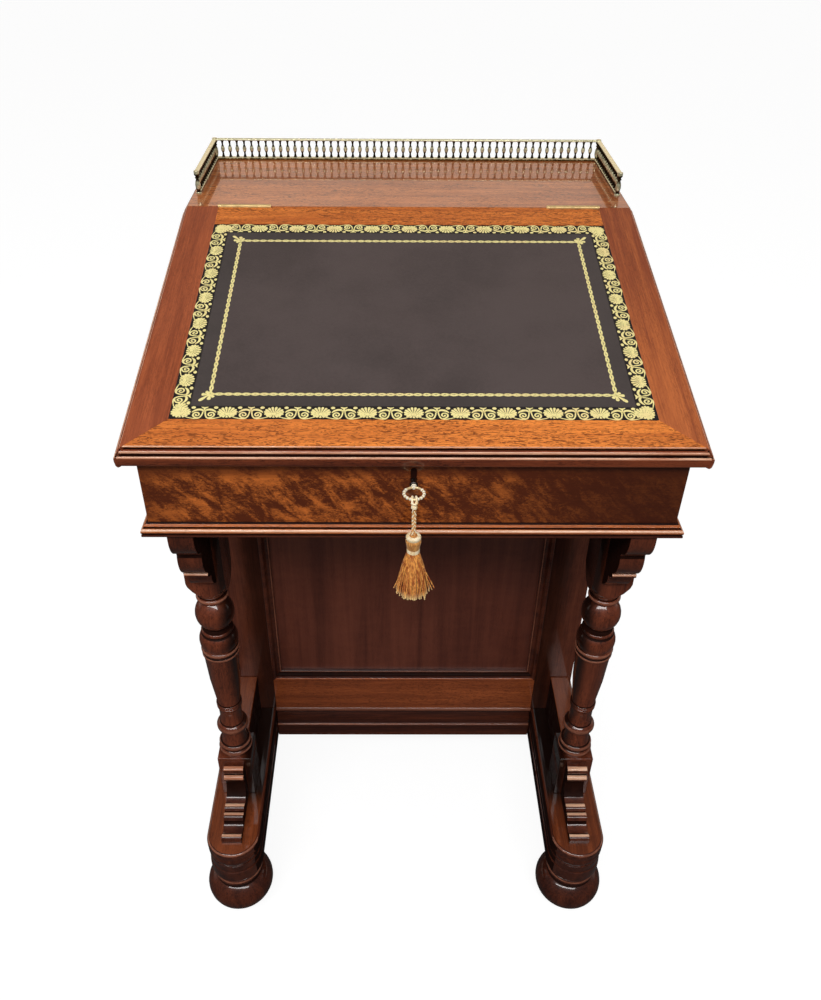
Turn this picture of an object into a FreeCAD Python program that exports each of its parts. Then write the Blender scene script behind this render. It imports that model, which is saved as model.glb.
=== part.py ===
import FreeCAD, Part
import os
from math import atan2, ceil, cos, degrees, hypot, pi, radians, sin

# A davenport: a small Victorian writing desk. A sloping leather-topped lid closes a box
# that stands on a drawer pedestal behind and on two turned columns in front.
# Millimetres. X runs to the right as a sitter sees the desk, Y to the back, Z up.
# The origin is on the floor under the middle of the overall outline.

V = FreeCAD.Vector
UP = V(0, 0, 1)
ALONG_X = V(1, 0, 0)
SIDES = (-1, 1)

# How finely rounds are drawn: turnings are faceted, and small rounds are chords
TURNED_SIDES = 16
SMALL_TURNED_SIDES = 12
ROUND_STEP = 60.0
TOUCH = 1e-6

# ---------------------------------------------------------------- driving dimensions

# Writing slope and flat top
SLOPE_FRONT_Y = -277.0
SLOPE_FRONT_Z = 760.0
SLOPE_RUN = 400.0
SLOPE_RISE = 82.0
TOP_DEPTH = 196.0
TOP_HALF_WIDTH = 268.8
BOARD = 22.0
NOSING = 6.0
NOSING_SHOULDER = 1.8
NOSING_ROUND = 4.0
BEAD_PROUD = 3.1
BEAD_DROP = 2.8
BEAD_HEIGHT = 4.6
QUIRK = 1.0

# Leather panel in the slope
LEATHER_HALF_WIDTH = 229.8
LEATHER_FRONT_MARGIN = 36.6
LEATHER_REAR_MARGIN = 39.1
LEATHER = 1.2
LEATHER_SET = 0.2
LID_PANEL = 14.0

# Writing box
BOX_FRONT_SET = 9.6
BOX_HALF_WIDTH = 259.2
BOX_DROP = 109.4
BOX_FRONT = 18.0
BOX_WALL = 12.0
TOP_BACK_OVERHANG = 8.5
BASE_MOULD_HEIGHT = 15.0
BASE_MOULD_DEPTH = 7.2
LID_CLEARANCE = 0.2

# Fitted interior of the box
FITTING_DIVISION = 6.0
FITTING_SETBACK = 12.0
SMALL_DRAWER_HEIGHT = 52.0
SMALL_DRAWER_WALL = 6.0
SMALL_KNOB_RADIUS = 6.0

# Pedestal
PEDESTAL_FRONT_SET = 220.8
PEDESTAL_HALF_WIDTH = 247.7
FRAME_FRONT = 22.0
FRAME_BACK = 18.0
FRONT_OPENING_HALF = 194.0
FRONT_OPENING_LOW = 199.7
FRONT_TOP_RAIL = 38.6
BACK_OPENING_HALF = 190.0
PANEL = 8.0
PANEL_RECESS = 9.0
PANEL_MOULD = 13.0
SIDE_FRAME = 6.0
POST = 11.5
POST_DEPTH = 18.0
RAIL = 10.0
DUST_BOARD = 6.0
BOTTOM_RAIL = 12.0

# Side drawers
DRAWER_COUNT = 4
DRAWER_STEP = 12.0
DRAWER_FRONT = 14.0
DRAWER_GAP = 0.6
DRAWER_WALL = 8.0
DRAWER_BOTTOM = 5.0
DRAWER_SIDE_DROP = 5.0
DRAWER_INNER_END = -214.0
DRAWER_INSET = 0.5
KNOB_RADIUS = 15.0
KNOB_REACH = 23.0
KNOB_SPREAD = 88.0

# Sledges, plinths and feet
SLEDGE_X = 230.0
SLEDGE_HALF_WIDTH = 35.5
SLEDGE_LOW = 72.0
SLEDGE_TOP = 134.4
SLEDGE_NOSE_SET = 9.6
PLINTH_PROUD = 1.0
BUN_RADIUS = 44.6

# Columns and their brackets
COLUMN_SET = 93.1
BLOCK = 45.0
LOWER_BLOCK_TOP = 210.5
UPPER_BLOCK_LOW = 503.0
BRACKET = 26.0
TIE_TOP = 205.0
TIE_ARRIS = 1.6

# Gallery
GALLERY_HALF_WIDTH = 261.5
GALLERY_HEIGHT = 27.4
GALLERY_BACK_SET = 6.0
GALLERY_FRONT_SET = 46.5
GALLERY_RAIL = 5.6
GALLERY_FOOT_RAIL = 3.4
GALLERY_TOP_RAIL = 2.4
GALLERY_PITCH = 9.8
SPINDLE_END_RADIUS = 1.1
SPINDLE_BULB_RADIUS = 2.5
SPINDLE_BULB_STOP = 0.42
SPINDLE_SIDES = 4
POST_RADIUS = 3.4
POST_CAP = 0.6

# Butt hinges of the lid
HINGE_INNER_X = 166.5
HINGE_LENGTH = 64.0
BARREL_RADIUS = 2.4
PIN_RADIUS = 1.1
HINGE_FIT = 0.05
LEAF = 1.2
LEAF_DROP = 16.0
LID_JOINT = 0.2

# Lock, key and tassel
KEY_DROP = 43.0
LOCK_WIDTH = 64.0
LOCK_HEIGHT = 34.0
LOCK_DEPTH = 12.0
LOCK_SHELL = 2.0
SHANK_RADIUS = 2.6
SHANK_BORE = 3.2
BOLT_HEIGHT = 5.0
BOLT_FIT = 0.1
BOLT_TRAVEL = 7.0
STAPLE = 3.0
STAPLE_WIDTH = 12.0
BOW_TIP_SET = 21.8
BOW_RADIUS = 9.4
BOW_WIRE = 1.4
BOW_WIRE_SIDES = 6
CORD_KNOT_RADIUS = 4.2
CORD_SET = 3.2
CORD_RADIUS = 2.0
CORD_GAP = 0.3
CORD_COLLAR = 3.2
TASSEL_CORD = 39.4
TASSEL_HEAD = 22.0
TASSEL_HEAD_RADIUS = 7.6
TASSEL_SKIRT = 46.6
TASSEL_SKIRT_RADIUS = 17.6

# ---------------------------------------------------------------- worked-out places

HINGE_Y = SLOPE_FRONT_Y + SLOPE_RUN
HINGE_Z = SLOPE_FRONT_Z + SLOPE_RISE
SLOPE = atan2(SLOPE_RISE, SLOPE_RUN)
SLOPE_LENGTH = hypot(SLOPE_RISE, SLOPE_RUN)
TOP_BACK_Y = HINGE_Y + TOP_DEPTH
TOP_UNDER_Z = HINGE_Z - BOARD
LID_DROP = BOARD / cos(SLOPE)
BOX_FRONT_Y = SLOPE_FRONT_Y + BOX_FRONT_SET
BOX_BACK_Y = TOP_BACK_Y - TOP_BACK_OVERHANG
BOX_BASE_Z = SLOPE_FRONT_Z - BOX_DROP
BOX_FLOOR_Z = BOX_BASE_Z + BOX_WALL
BOX_INNER_X = BOX_HALF_WIDTH - BOX_WALL
PEDESTAL_FRONT_Y = SLOPE_FRONT_Y + PEDESTAL_FRONT_SET
FRONT_OPENING_HIGH = BOX_BASE_Z - FRONT_TOP_RAIL
FRAME_INNER_Y = PEDESTAL_FRONT_Y + FRAME_FRONT
BACK_INNER_Y = BOX_BACK_Y - FRAME_BACK
DRAWER_FRONT_Y = FRAME_INNER_Y + POST
DRAWER_BACK_Y = BACK_INNER_Y - POST
DRAWER_MID_Y = (DRAWER_FRONT_Y + DRAWER_BACK_Y) / 2
CARCASS_X = PEDESTAL_HALF_WIDTH - POST_DEPTH
SLEDGE_NOSE_Y = SLOPE_FRONT_Y + SLEDGE_NOSE_SET
REAR_FOOT_Y = BOX_BACK_Y - SLEDGE_HALF_WIDTH
SLEDGE_INNER_X = SLEDGE_X - SLEDGE_HALF_WIDTH
COLUMN_Y = SLOPE_FRONT_Y + COLUMN_SET
KEY_Z = SLOPE_FRONT_Z - KEY_DROP
BOW_TIP_Y = SLOPE_FRONT_Y - BOW_TIP_SET
CORD_Y = BOW_TIP_Y - CORD_SET
TASSEL_HEAD_TOP = KEY_Z - TASSEL_CORD
TASSEL_HEAD_LOW = TASSEL_HEAD_TOP - TASSEL_HEAD
TASSEL_LOW = TASSEL_HEAD_LOW - TASSEL_SKIRT

# ---------------------------------------------------------------- shape helpers


def save(node, *solids):
    """Write one sub-part, one solid or a group of separate ones."""
    shape = solids[0] if len(solids) == 1 else Part.makeCompound(list(solids))
    shape.exportStep(f"parts/{node}.step")


def box(x, y, z):
    """A block between two limits on each axis."""
    return Part.makeBox(x[1] - x[0], y[1] - y[0], z[1] - z[0], V(x[0], y[0], z[0]))


def face(place, *moves):
    """A flat outline. A move is a corner (u, v), or an arc ((u, v) on the way, (u, v) end)."""
    edges = []
    start = at = moves[0]
    for move in moves[1:] + (start,):
        if isinstance(move[0], tuple):
            edges.append(Part.Arc(place(*at), place(*move[0]), place(*move[1])).toShape())
            at = move[1]
        elif move != at:
            edges.append(Part.makeLine(place(*at), place(*move)))
            at = move
    return Part.Face(Part.Wire(edges))


def rounded(*moves, step=ROUND_STEP):
    """The corners of an outline, its arcs drawn as chords of at most one step of turn."""
    points = []
    for move in moves:
        if isinstance(move[0], tuple):
            curve = Part.Arc(V(*points[-1], 0), V(*move[0], 0), V(*move[1], 0))
            turn = degrees(curve.LastParameter - curve.FirstParameter)
            chords = curve.toShape().discretize(ceil(turn / step) + 1)[1:]
            points += [(point.x, point.y) for point in chords]
        else:
            points.append(move)
    return points


def ring_of_points(x, y, z, radius, sides):
    """Corners of a level many-sided outline."""
    turns = [2 * pi * step / sides for step in range(sides)]
    return [V(x + radius * cos(turn), y + radius * sin(turn), z) for turn in turns]


def flat_face(*corners):
    """A flat face through its corners; corners that fall together count once."""
    kept = [corner for index, corner in enumerate(corners) if not corner.isEqual(corners[index - 1], TOUCH)]
    return Part.Face(Part.makePolygon([*kept, kept[0]]))


def band(lower, upper):
    """The flat faces that join two level outlines of as many corners."""
    return [
        flat_face(lower[index - 1], lower[index], upper[index], upper[index - 1])
        for index in range(len(lower))
    ]


def closed(faces):
    """The solid inside a closed skin of faces."""
    solid = Part.makeSolid(Part.makeShell(faces))
    if solid.Volume < 0:
        solid.reverse()
    return solid


def turned(x, y, *profile, sides=TURNED_SIDES):
    """A lathe-turned solid about an upright axis, faceted round it.
    The profile is (radius, height) from its foot to its head."""
    rings = [ring_of_points(x, y, z, radius, sides) for radius, z in rounded(*profile)]
    faces = [flat_face(*ring) for ring in (rings[0], rings[-1]) if not ring[0].isEqual(ring[1], TOUCH)]
    for lower, upper in zip(rings, rings[1:]):
        faces += band(lower, upper)
    return closed(faces)


def turned_knob(x, y, z, outward, radius, reach):
    """A wooden knob on a short waist, turned about a level axis."""
    waist = radius * 0.5
    knob = turned(
        0, 0, (waist, 0), (waist, reach * 0.35), (radius, reach * 0.6), (radius * 0.7, reach),
        sides=SMALL_TURNED_SIDES)
    knob.rotate(V(0, 0, 0), V(outward.y, -outward.x, 0), -90)
    knob.translate(V(x, y, z))
    return knob


def bead(z_low, z_high, inner, outer):
    """A round bead on a turning, as profile moves from its lower to its upper edge."""
    return ((inner, z_low), ((outer, (z_low + z_high) / 2), (inner, z_high)))


def run_along_x(x, *moves):
    """A section in Y and Z, run between two X limits."""
    return face(lambda y, z: V(x[0], y, z), *moves).extrude(V(x[1] - x[0], 0, 0))


def run_along_y(y, *moves):
    """A section in X and Z, run between two Y limits."""
    return face(lambda x, z: V(x, y[0], z), *moves).extrude(V(0, y[1] - y[0], 0))


def run_up(z, *moves):
    """A plan in X and Y, run between two heights."""
    return face(lambda x, y: V(x, y, z[0]), *moves).extrude(V(0, 0, z[1] - z[0]))


def mirrored(solid, side):
    """The solid as drawn for the right-hand side, or its mirror image for the left."""
    return solid if side > 0 else solid.mirror(V(0, 0, 0), ALONG_X)


def sheared_off(solid, point, normal, size=1200):
    """The solid with everything on the normal's side of a plane cut away."""
    slab = Part.makePlane(2 * size, 2 * size, V(-size, -size, 0)).extrude(V(0, 0, size))
    slab.Placement = FreeCAD.Placement(point, FreeCAD.Rotation(UP, normal))
    return solid.cut(slab)


# ---------------------------------------------------------------- top board and lid


def edge_moves(edge, top, outward):
    """The moulded edge of the top: arris, bead stepping out between quirks, then the nosing.
    The moves go from the upper arris down to the underside."""
    bead_top = top - BEAD_DROP
    bead_low = bead_top - BEAD_HEIGHT
    bead_root = edge + outward * BEAD_PROUD / 2
    lip = edge + outward * NOSING
    shoulder = bead_low - QUIRK
    low = top - BOARD
    return rounded(
        (edge, top),
        (edge, bead_top + QUIRK),
        (edge - outward * QUIRK, bead_top),
        ((edge + outward * BEAD_PROUD, (bead_top + bead_low) / 2), (bead_root, bead_low)),
        (bead_root, shoulder),
        (lip - outward * NOSING_SHOULDER, shoulder),
        (lip, shoulder - NOSING_SHOULDER),
        (lip, low + NOSING_ROUND),
        ((lip - outward * NOSING_ROUND * 0.3, low + NOSING_ROUND * 0.3), (lip - outward * NOSING_ROUND, low)),
    )


def moulded_board(y, top, front_edge, back_edge):
    """A board with the moulded edge on both sides, and on its front or back."""
    right = edge_moves(TOP_HALF_WIDTH, top, 1)
    left = edge_moves(-TOP_HALF_WIDTH, top, -1)
    reach = 2 * NOSING
    across = run_along_y((y[0] - reach, y[1] + reach), *right, *reversed(left))
    front = edge_moves(y[0], top, -1) if front_edge else ((y[0], top), (y[0], top - BOARD))
    back = edge_moves(y[1], top, 1) if back_edge else ((y[1], top), (y[1], top - BOARD))
    span = TOP_HALF_WIDTH + reach
    along = run_along_x((-span, span), *back, *reversed(front))
    return across.common(along)


def on_slope(solid):
    """Tilt what is modelled level at the hinge line down onto the slope."""
    solid.rotate(V(0, HINGE_Y, HINGE_Z), ALONG_X, degrees(SLOPE))
    return solid


def lid():
    """Mitred frame, inner panel and leather, all lying in the slope."""
    front = HINGE_Y - SLOPE_LENGTH
    blank = moulded_board((front, HINGE_Y + BOARD), HINGE_Z, True, False)
    inner = LEATHER_HALF_WIDTH
    low = front + LEATHER_FRONT_MARGIN
    high = HINGE_Y - LEATHER_REAR_MARGIN
    z = (HINGE_Z - 2 * BOARD, HINGE_Z + BOARD)
    reach = LEATHER_FRONT_MARGIN + 2 * NOSING
    outer = inner + reach * (TOP_HALF_WIDTH - inner) / LEATHER_FRONT_MARGIN
    far = HINGE_Y + 2 * BOARD
    front_plan = run_up(z, (-outer, low - reach), (outer, low - reach), (inner, low), (-inner, low))
    stile_plan = run_up(z, (inner, low), (outer, low - reach), (outer, far), (inner, far))
    rear_plan = run_up(z, (-inner, high), (inner, high), (inner, far), (-inner, far))
    stiles = {"right": stile_plan, "left": mirrored(stile_plan, -1)}

    def finish(piece):
        piece = on_slope(piece)
        return fitted_to_hinges(sheared_off(piece, V(0, HINGE_Y - LID_JOINT, 0), V(0, 1, 0)))

    save("lid_front_rail", finish(blank.common(front_plan)))
    save("lid_rear_rail", finish(blank.common(rear_plan)))
    for name, plan in stiles.items():
        save(f"lid_stile_{name}", finish(blank.common(plan)))
    leather_top = HINGE_Z - LEATHER_SET
    panel_top = leather_top - LEATHER
    save("lid_panel", on_slope(box((-inner, inner), (low, high), (panel_top - LID_PANEL, panel_top))))
    save("writing_leather", on_slope(box((-inner, inner), (low, high), (panel_top, leather_top))))


def top_board():
    """The fixed flat top behind the slope."""
    board = moulded_board((HINGE_Y + LID_JOINT, TOP_BACK_Y), HINGE_Z, False, True)
    save("top_board", fitted_to_hinges(board))


# ---------------------------------------------------------------- hinges


def hinge_spans():
    """The X limits of the two hinges, left one first."""
    outer = HINGE_INNER_X + HINGE_LENGTH
    return (-outer, -HINGE_INNER_X), (HINGE_INNER_X, outer)


def rod_x(x, y, z, radius):
    """A round rod along X."""
    return Part.makeCylinder(radius, x[1] - x[0], V(x[0], y, z), ALONG_X)


def fitted_to_hinges(board):
    """Cut the seats of the leaves and the hollows round the barrels."""
    for x in hinge_spans():
        seat = (HINGE_Y - LID_JOINT - LEAF, HINGE_Y + LID_JOINT + LEAF)
        board = board.cut(box(x, seat, (HINGE_Z - LEAF_DROP, HINGE_Z + BOARD)))
        board = board.cut(rod_x(x, HINGE_Y, HINGE_Z, BARREL_RADIUS + LID_JOINT))
    return board


def hinges():
    """Butt hinges with three knuckles: two on the fixed leaf, one on the lid's leaf."""
    third = HINGE_LENGTH / 3
    fixed, moving = [], []
    slack = BARREL_RADIUS + LID_JOINT
    for x in hinge_spans():
        middle = (x[0] + third, x[1] - third)
        z = (HINGE_Z - LEAF_DROP, HINGE_Z)
        ends = rod_x(x, HINGE_Y, HINGE_Z, BARREL_RADIUS)
        ends = ends.cut(rod_x((middle[0] - HINGE_FIT, middle[1] + HINGE_FIT), HINGE_Y, HINGE_Z, slack))
        leaf = box(x, (HINGE_Y + LID_JOINT, HINGE_Y + LID_JOINT + LEAF), z)
        leaf = leaf.cut(rod_x(middle, HINGE_Y, HINGE_Z, slack))
        pin = rod_x(x, HINGE_Y, HINGE_Z, PIN_RADIUS)
        fixed.append(leaf.fuse([ends, pin]).removeSplitter())
        knuckle = rod_x(middle, HINGE_Y, HINGE_Z, BARREL_RADIUS)
        leaf = box(x, (HINGE_Y - LID_JOINT - LEAF, HINGE_Y - LID_JOINT), z)
        for end in ((x[0], middle[0]), (middle[1], x[1])):
            leaf = leaf.cut(rod_x(end, HINGE_Y, HINGE_Z, slack))
        bore = rod_x(x, HINGE_Y, HINGE_Z, PIN_RADIUS + HINGE_FIT)
        moving.append(leaf.fuse(knuckle).cut(bore).removeSplitter())
    save("hinge_leaves_fixed", *fixed)
    save("hinge_leaves_lid", *moving)


# ---------------------------------------------------------------- writing box


def under_slope(y, gap=LID_CLEARANCE):
    """Height of the underside of the lid at a given depth, less a gap."""
    return HINGE_Z - (HINGE_Y - y) * SLOPE_RISE / SLOPE_RUN - LID_DROP - gap


def writing_box():
    """Bottom, veneered front, sloping sides and back."""
    inner_front = BOX_FRONT_Y + BOX_FRONT
    inner_back = BOX_BACK_Y - BOX_WALL
    width = (-BOX_HALF_WIDTH, BOX_HALF_WIDTH)
    save("box_bottom", box(width, (BOX_FRONT_Y, BOX_BACK_Y), (BOX_BASE_Z, BOX_FLOOR_Z)))
    front = run_along_x(
        width,
        (BOX_FRONT_Y, BOX_FLOOR_Z),
        (inner_front, BOX_FLOOR_Z),
        (inner_front, under_slope(inner_front)),
        (BOX_FRONT_Y, under_slope(BOX_FRONT_Y)),
    )
    save("box_front", front.cut(lock_recess()).cut(keyhole()))
    side = run_along_x(
        (BOX_INNER_X, BOX_HALF_WIDTH),
        (inner_front, BOX_FLOOR_Z),
        (inner_back, BOX_FLOOR_Z),
        (inner_back, TOP_UNDER_Z),
        (HINGE_Y, TOP_UNDER_Z),
        (HINGE_Y - LID_JOINT, under_slope(HINGE_Y - LID_JOINT)),
        (inner_front, under_slope(inner_front)),
    )
    save("box_side_right", side)
    save("box_side_left", mirrored(side, -1))
    save("box_back", box(width, (inner_back, BOX_BACK_Y), (BOX_FLOOR_Z, TOP_UNDER_Z)))


def base_moulding():
    """Mitred moulding planted round the foot of the box: fillet, bead and lower fillet."""
    low = BOX_BASE_Z
    depth = BASE_MOULD_DEPTH
    height = BASE_MOULD_HEIGHT

    def section(edge, outward):
        out = outward * depth
        return rounded(
            (edge, low),
            (edge + out * 0.75, low),
            (edge + out * 0.75, low + height * 0.18),
            (edge + out * 0.6, low + height * 0.24),
            ((edge + out, low + height * 0.45), (edge + out * 0.6, low + height * 0.66)),
            (edge + out * 0.7, low + height * 0.74),
            (edge + out * 0.3, low + height),
            (edge, low + height),
        )

    wide = BOX_HALF_WIDTH + depth
    mitre_front = V(BOX_HALF_WIDTH, BOX_FRONT_Y, 0)
    front = run_along_x((-wide, wide), *section(BOX_FRONT_Y, -1))
    front = sheared_off(front, mitre_front, V(1, 1, 0))
    front = sheared_off(front, V(-BOX_HALF_WIDTH, BOX_FRONT_Y, 0), V(-1, 1, 0))
    side = run_along_y((BOX_FRONT_Y - depth, BOX_BACK_Y), *section(BOX_HALF_WIDTH, 1))
    side = sheared_off(side, mitre_front, V(-1, -1, 0))
    save("base_mouldings", front, side, mirrored(side, -1))


def small_knob(x, y, z):
    """Turned knob of an inner drawer."""
    return turned_knob(x, y, z, V(0, -1, 0), SMALL_KNOB_RADIUS, SMALL_KNOB_RADIUS * 2)


def box_interior():
    """Pigeonholes over two small drawers, under the flat top."""
    front = HINGE_Y + FITTING_SETBACK
    back = BOX_BACK_Y - BOX_WALL
    shelf = BOX_FLOOR_Z + SMALL_DRAWER_HEIGHT + 2 * DRAWER_GAP
    half = FITTING_DIVISION / 2
    width = (-BOX_INNER_X, BOX_INNER_X)
    boards = [
        box(width, (front, back), (shelf, shelf + FITTING_DIVISION)),
        box((-half, half), (front, back), (BOX_FLOOR_Z, shelf)),
    ]
    for x in (-BOX_INNER_X / 2, 0, BOX_INNER_X / 2):
        boards.append(box((x - half, x + half), (front, back), (shelf + FITTING_DIVISION, TOP_UNDER_Z)))
    save("pigeonholes", *boards)

    low = BOX_FLOOR_Z + DRAWER_GAP
    high = shelf - DRAWER_GAP
    x = (half + DRAWER_GAP, BOX_INNER_X - DRAWER_GAP)
    y = (front, back - SMALL_DRAWER_WALL)
    tray = tray_shape(x, y, (low, high), SMALL_DRAWER_WALL)
    knob = small_knob(sum(x) / 2, front, (low + high) / 2)
    drawer = tray.fuse(knob)
    save("small_drawer_right", drawer)
    save("small_drawer_left", mirrored(drawer, -1))


def tray_shape(x, y, z, wall):
    """An open drawer body with four walls and a bottom."""
    hollow = box((x[0] + wall, x[1] - wall), (y[0] + wall, y[1] - wall), (z[0] + wall, z[1] + wall))
    return box(x, y, z).cut(hollow)


# ---------------------------------------------------------------- pedestal


def pedestal_front():
    """Stiles, rails and a sunk panel framed by a mitred moulding."""
    y = (PEDESTAL_FRONT_Y, FRAME_INNER_Y)
    z = (SLEDGE_TOP, BOX_BASE_Z)
    opening = FRONT_OPENING_HALF
    stile = box((opening, PEDESTAL_HALF_WIDTH), y, z)
    save("front_stile_right", stile)
    save("front_stile_left", mirrored(stile, -1))
    width = (-opening, opening)
    lower = box(width, y, (SLEDGE_TOP, FRONT_OPENING_LOW))
    upper = box(width, y, (FRONT_OPENING_HIGH, BOX_BASE_Z))
    save("front_rails", lower, upper)
    panel_y = (PEDESTAL_FRONT_Y + PANEL_RECESS, PEDESTAL_FRONT_Y + PANEL_RECESS + PANEL)
    save("front_panel", box(width, panel_y, (FRONT_OPENING_LOW, FRONT_OPENING_HIGH)))
    save("panel_mouldings", *panel_mouldings())


def panel_mouldings():
    """Four mitred strips: an outer bead, a hollow and a thin inner edge."""
    out = PEDESTAL_FRONT_Y
    back = out + PANEL_RECESS

    def section(edge, inward):
        step = inward * PANEL_MOULD
        return rounded(
            (edge, back),
            (edge, out - 1.5),
            ((edge + step * 0.2, out - 3.5), (edge + step * 0.4, out - 1.5)),
            ((edge + step * 0.55, out + 4.5), (edge + step * 0.85, out + 5.5)),
            (edge + step, out + 5.5),
            (edge + step, back),
        )

    half = FRONT_OPENING_HALF
    middle = (FRONT_OPENING_LOW + FRONT_OPENING_HIGH) / 2
    corner_low = V(half, 0, FRONT_OPENING_LOW)
    corner_high = V(half, 0, FRONT_OPENING_HIGH)
    upright = face(lambda x, y: V(x, y, FRONT_OPENING_LOW), *section(half, -1))
    upright = upright.extrude(V(0, 0, FRONT_OPENING_HIGH - FRONT_OPENING_LOW))
    upright = sheared_off(upright, corner_low, V(-1, 0, -1))
    upright = sheared_off(upright, corner_high, V(-1, 0, 1))
    level = face(lambda z, y: V(-half, y, z), *section(FRONT_OPENING_LOW, 1)).extrude(V(2 * half, 0, 0))
    level = sheared_off(level, corner_low, V(1, 0, 1))
    level = sheared_off(level, V(-half, 0, FRONT_OPENING_LOW), V(-1, 0, 1))
    over = level.mirror(V(0, 0, middle), UP)
    return upright, mirrored(upright, -1), level, over


def drawer_heights():
    """Opening heights from the lowest drawer up, each one step less than the last."""
    rails = (DRAWER_COUNT - 1) * RAIL + 2 * BOTTOM_RAIL
    free = BOX_BASE_Z - SLEDGE_TOP - rails
    steps = DRAWER_STEP * DRAWER_COUNT * (DRAWER_COUNT - 1) / 2
    least = (free - steps) / DRAWER_COUNT
    return [least + DRAWER_STEP * (DRAWER_COUNT - 1 - index) for index in range(DRAWER_COUNT)]


def drawer_openings():
    """The (low, high) limits of each drawer opening, lowest first."""
    openings = []
    low = SLEDGE_TOP + BOTTOM_RAIL
    for height in drawer_heights():
        openings.append((low, low + height))
        low += height + RAIL
    return openings


def carcass():
    """Back, left-hand side with dummy drawers, right-hand posts and dust boards."""
    z = (SLEDGE_TOP, BOX_BASE_Z)
    openings = drawer_openings()
    inner_y = (FRAME_INNER_Y, BACK_INNER_Y)
    board_x = (-PEDESTAL_HALF_WIDTH + SIDE_FRAME, -CARCASS_X)
    save("side_board_left", box(board_x, inner_y, z))
    frame_x = (-PEDESTAL_HALF_WIDTH, -PEDESTAL_HALF_WIDTH + SIDE_FRAME)
    frame = box(frame_x, inner_y, z)
    for low, high in openings:
        frame = frame.cut(box(frame_x, (DRAWER_FRONT_Y, DRAWER_BACK_Y), (low, high)))
    save("side_frame_left", frame)
    posts_x = (CARCASS_X, PEDESTAL_HALF_WIDTH)
    posts = [box(posts_x, y, z) for y in ((FRAME_INNER_Y, DRAWER_FRONT_Y), (DRAWER_BACK_Y, BACK_INNER_Y))]
    save("side_posts_right", *posts)

    shelves = []
    guides = []
    lows = [SLEDGE_TOP] + [high for low, high in openings]
    for index, low in enumerate(lows):
        outermost = index in (0, DRAWER_COUNT)
        high = low + (BOTTOM_RAIL if outermost else RAIL)
        board_low = low if index == DRAWER_COUNT else high - DUST_BOARD
        board = box((-CARCASS_X, CARCASS_X), inner_y, (board_low, board_low + DUST_BOARD))
        edge = box(posts_x, (DRAWER_FRONT_Y, DRAWER_BACK_Y), (low, high))
        shelves.append(board.fuse(edge).removeSplitter())
        if index < DRAWER_COUNT:
            for y in ((FRAME_INNER_Y, DRAWER_FRONT_Y), (DRAWER_BACK_Y, BACK_INNER_Y)):
                guides.append(box((-CARCASS_X, CARCASS_X), y, (high, high + 2 * RAIL)))
    save("dust_boards", *shelves)
    save("drawer_guides", *guides)


def pedestal_back():
    """Framed back with one flat panel."""
    y = (BACK_INNER_Y, BOX_BACK_Y)
    half = BACK_OPENING_HALF
    stile = box((half, PEDESTAL_HALF_WIDTH), y, (SLEDGE_TOP, BOX_BASE_Z))
    lower = box((-half, half), y, (SLEDGE_TOP, FRONT_OPENING_LOW))
    upper = box((-half, half), y, (FRONT_OPENING_HIGH, BOX_BASE_Z))
    save("back_frame", stile, mirrored(stile, -1), lower, upper)
    panel_y = (BACK_INNER_Y + DRAWER_GAP, BACK_INNER_Y + DRAWER_GAP + PANEL)
    save("back_panel", box((-half, half), panel_y, (FRONT_OPENING_LOW, FRONT_OPENING_HIGH)))


def drawer_front(opening, x):
    """A flush drawer front with its two knobs; x runs from its back to its face."""
    low, high = opening
    y = (DRAWER_FRONT_Y + DRAWER_GAP, DRAWER_BACK_Y - DRAWER_GAP)
    board = box(x, y, (low + DRAWER_GAP, high - DRAWER_GAP))
    middle = (low + high) / 2
    knobs = [
        turned_knob(x[1], DRAWER_MID_Y + side * KNOB_SPREAD, middle, V(1, 0, 0), KNOB_RADIUS, KNOB_REACH)
        for side in SIDES
    ]
    return board, knobs


def drawers():
    """Four graduated drawers that open to the right, and the dummies opposite."""
    face_x = PEDESTAL_HALF_WIDTH - DRAWER_INSET
    dummy_x = (PEDESTAL_HALF_WIDTH - SIDE_FRAME, face_x)
    dummy_fronts = []
    dummy_knobs = []
    for number, opening in enumerate(reversed(drawer_openings()), start=1):
        low, high = opening
        board, knobs = drawer_front(opening, (face_x - DRAWER_FRONT, face_x))
        save(f"drawer_{number}_front", board, *knobs)
        y = (DRAWER_FRONT_Y + 2 * DRAWER_GAP, DRAWER_BACK_Y - 2 * DRAWER_GAP)
        x = (DRAWER_INNER_END, face_x - DRAWER_FRONT)
        z = (low, high - DRAWER_SIDE_DROP)
        inside = (y[0] + DRAWER_WALL, y[1] - DRAWER_WALL)
        hollow = box((x[0] + DRAWER_WALL, x[1]), inside, (z[0] + DRAWER_BOTTOM, high))
        save(f"drawer_{number}_box", box(x, y, z).cut(hollow))
        board, knobs = drawer_front(opening, dummy_x)
        dummy_fronts.append(mirrored(board, -1))
        dummy_knobs += [mirrored(knob, -1) for knob in knobs]
    save("dummy_fronts", *dummy_fronts)
    save("dummy_knobs", *dummy_knobs)


# ---------------------------------------------------------------- base and columns


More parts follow.
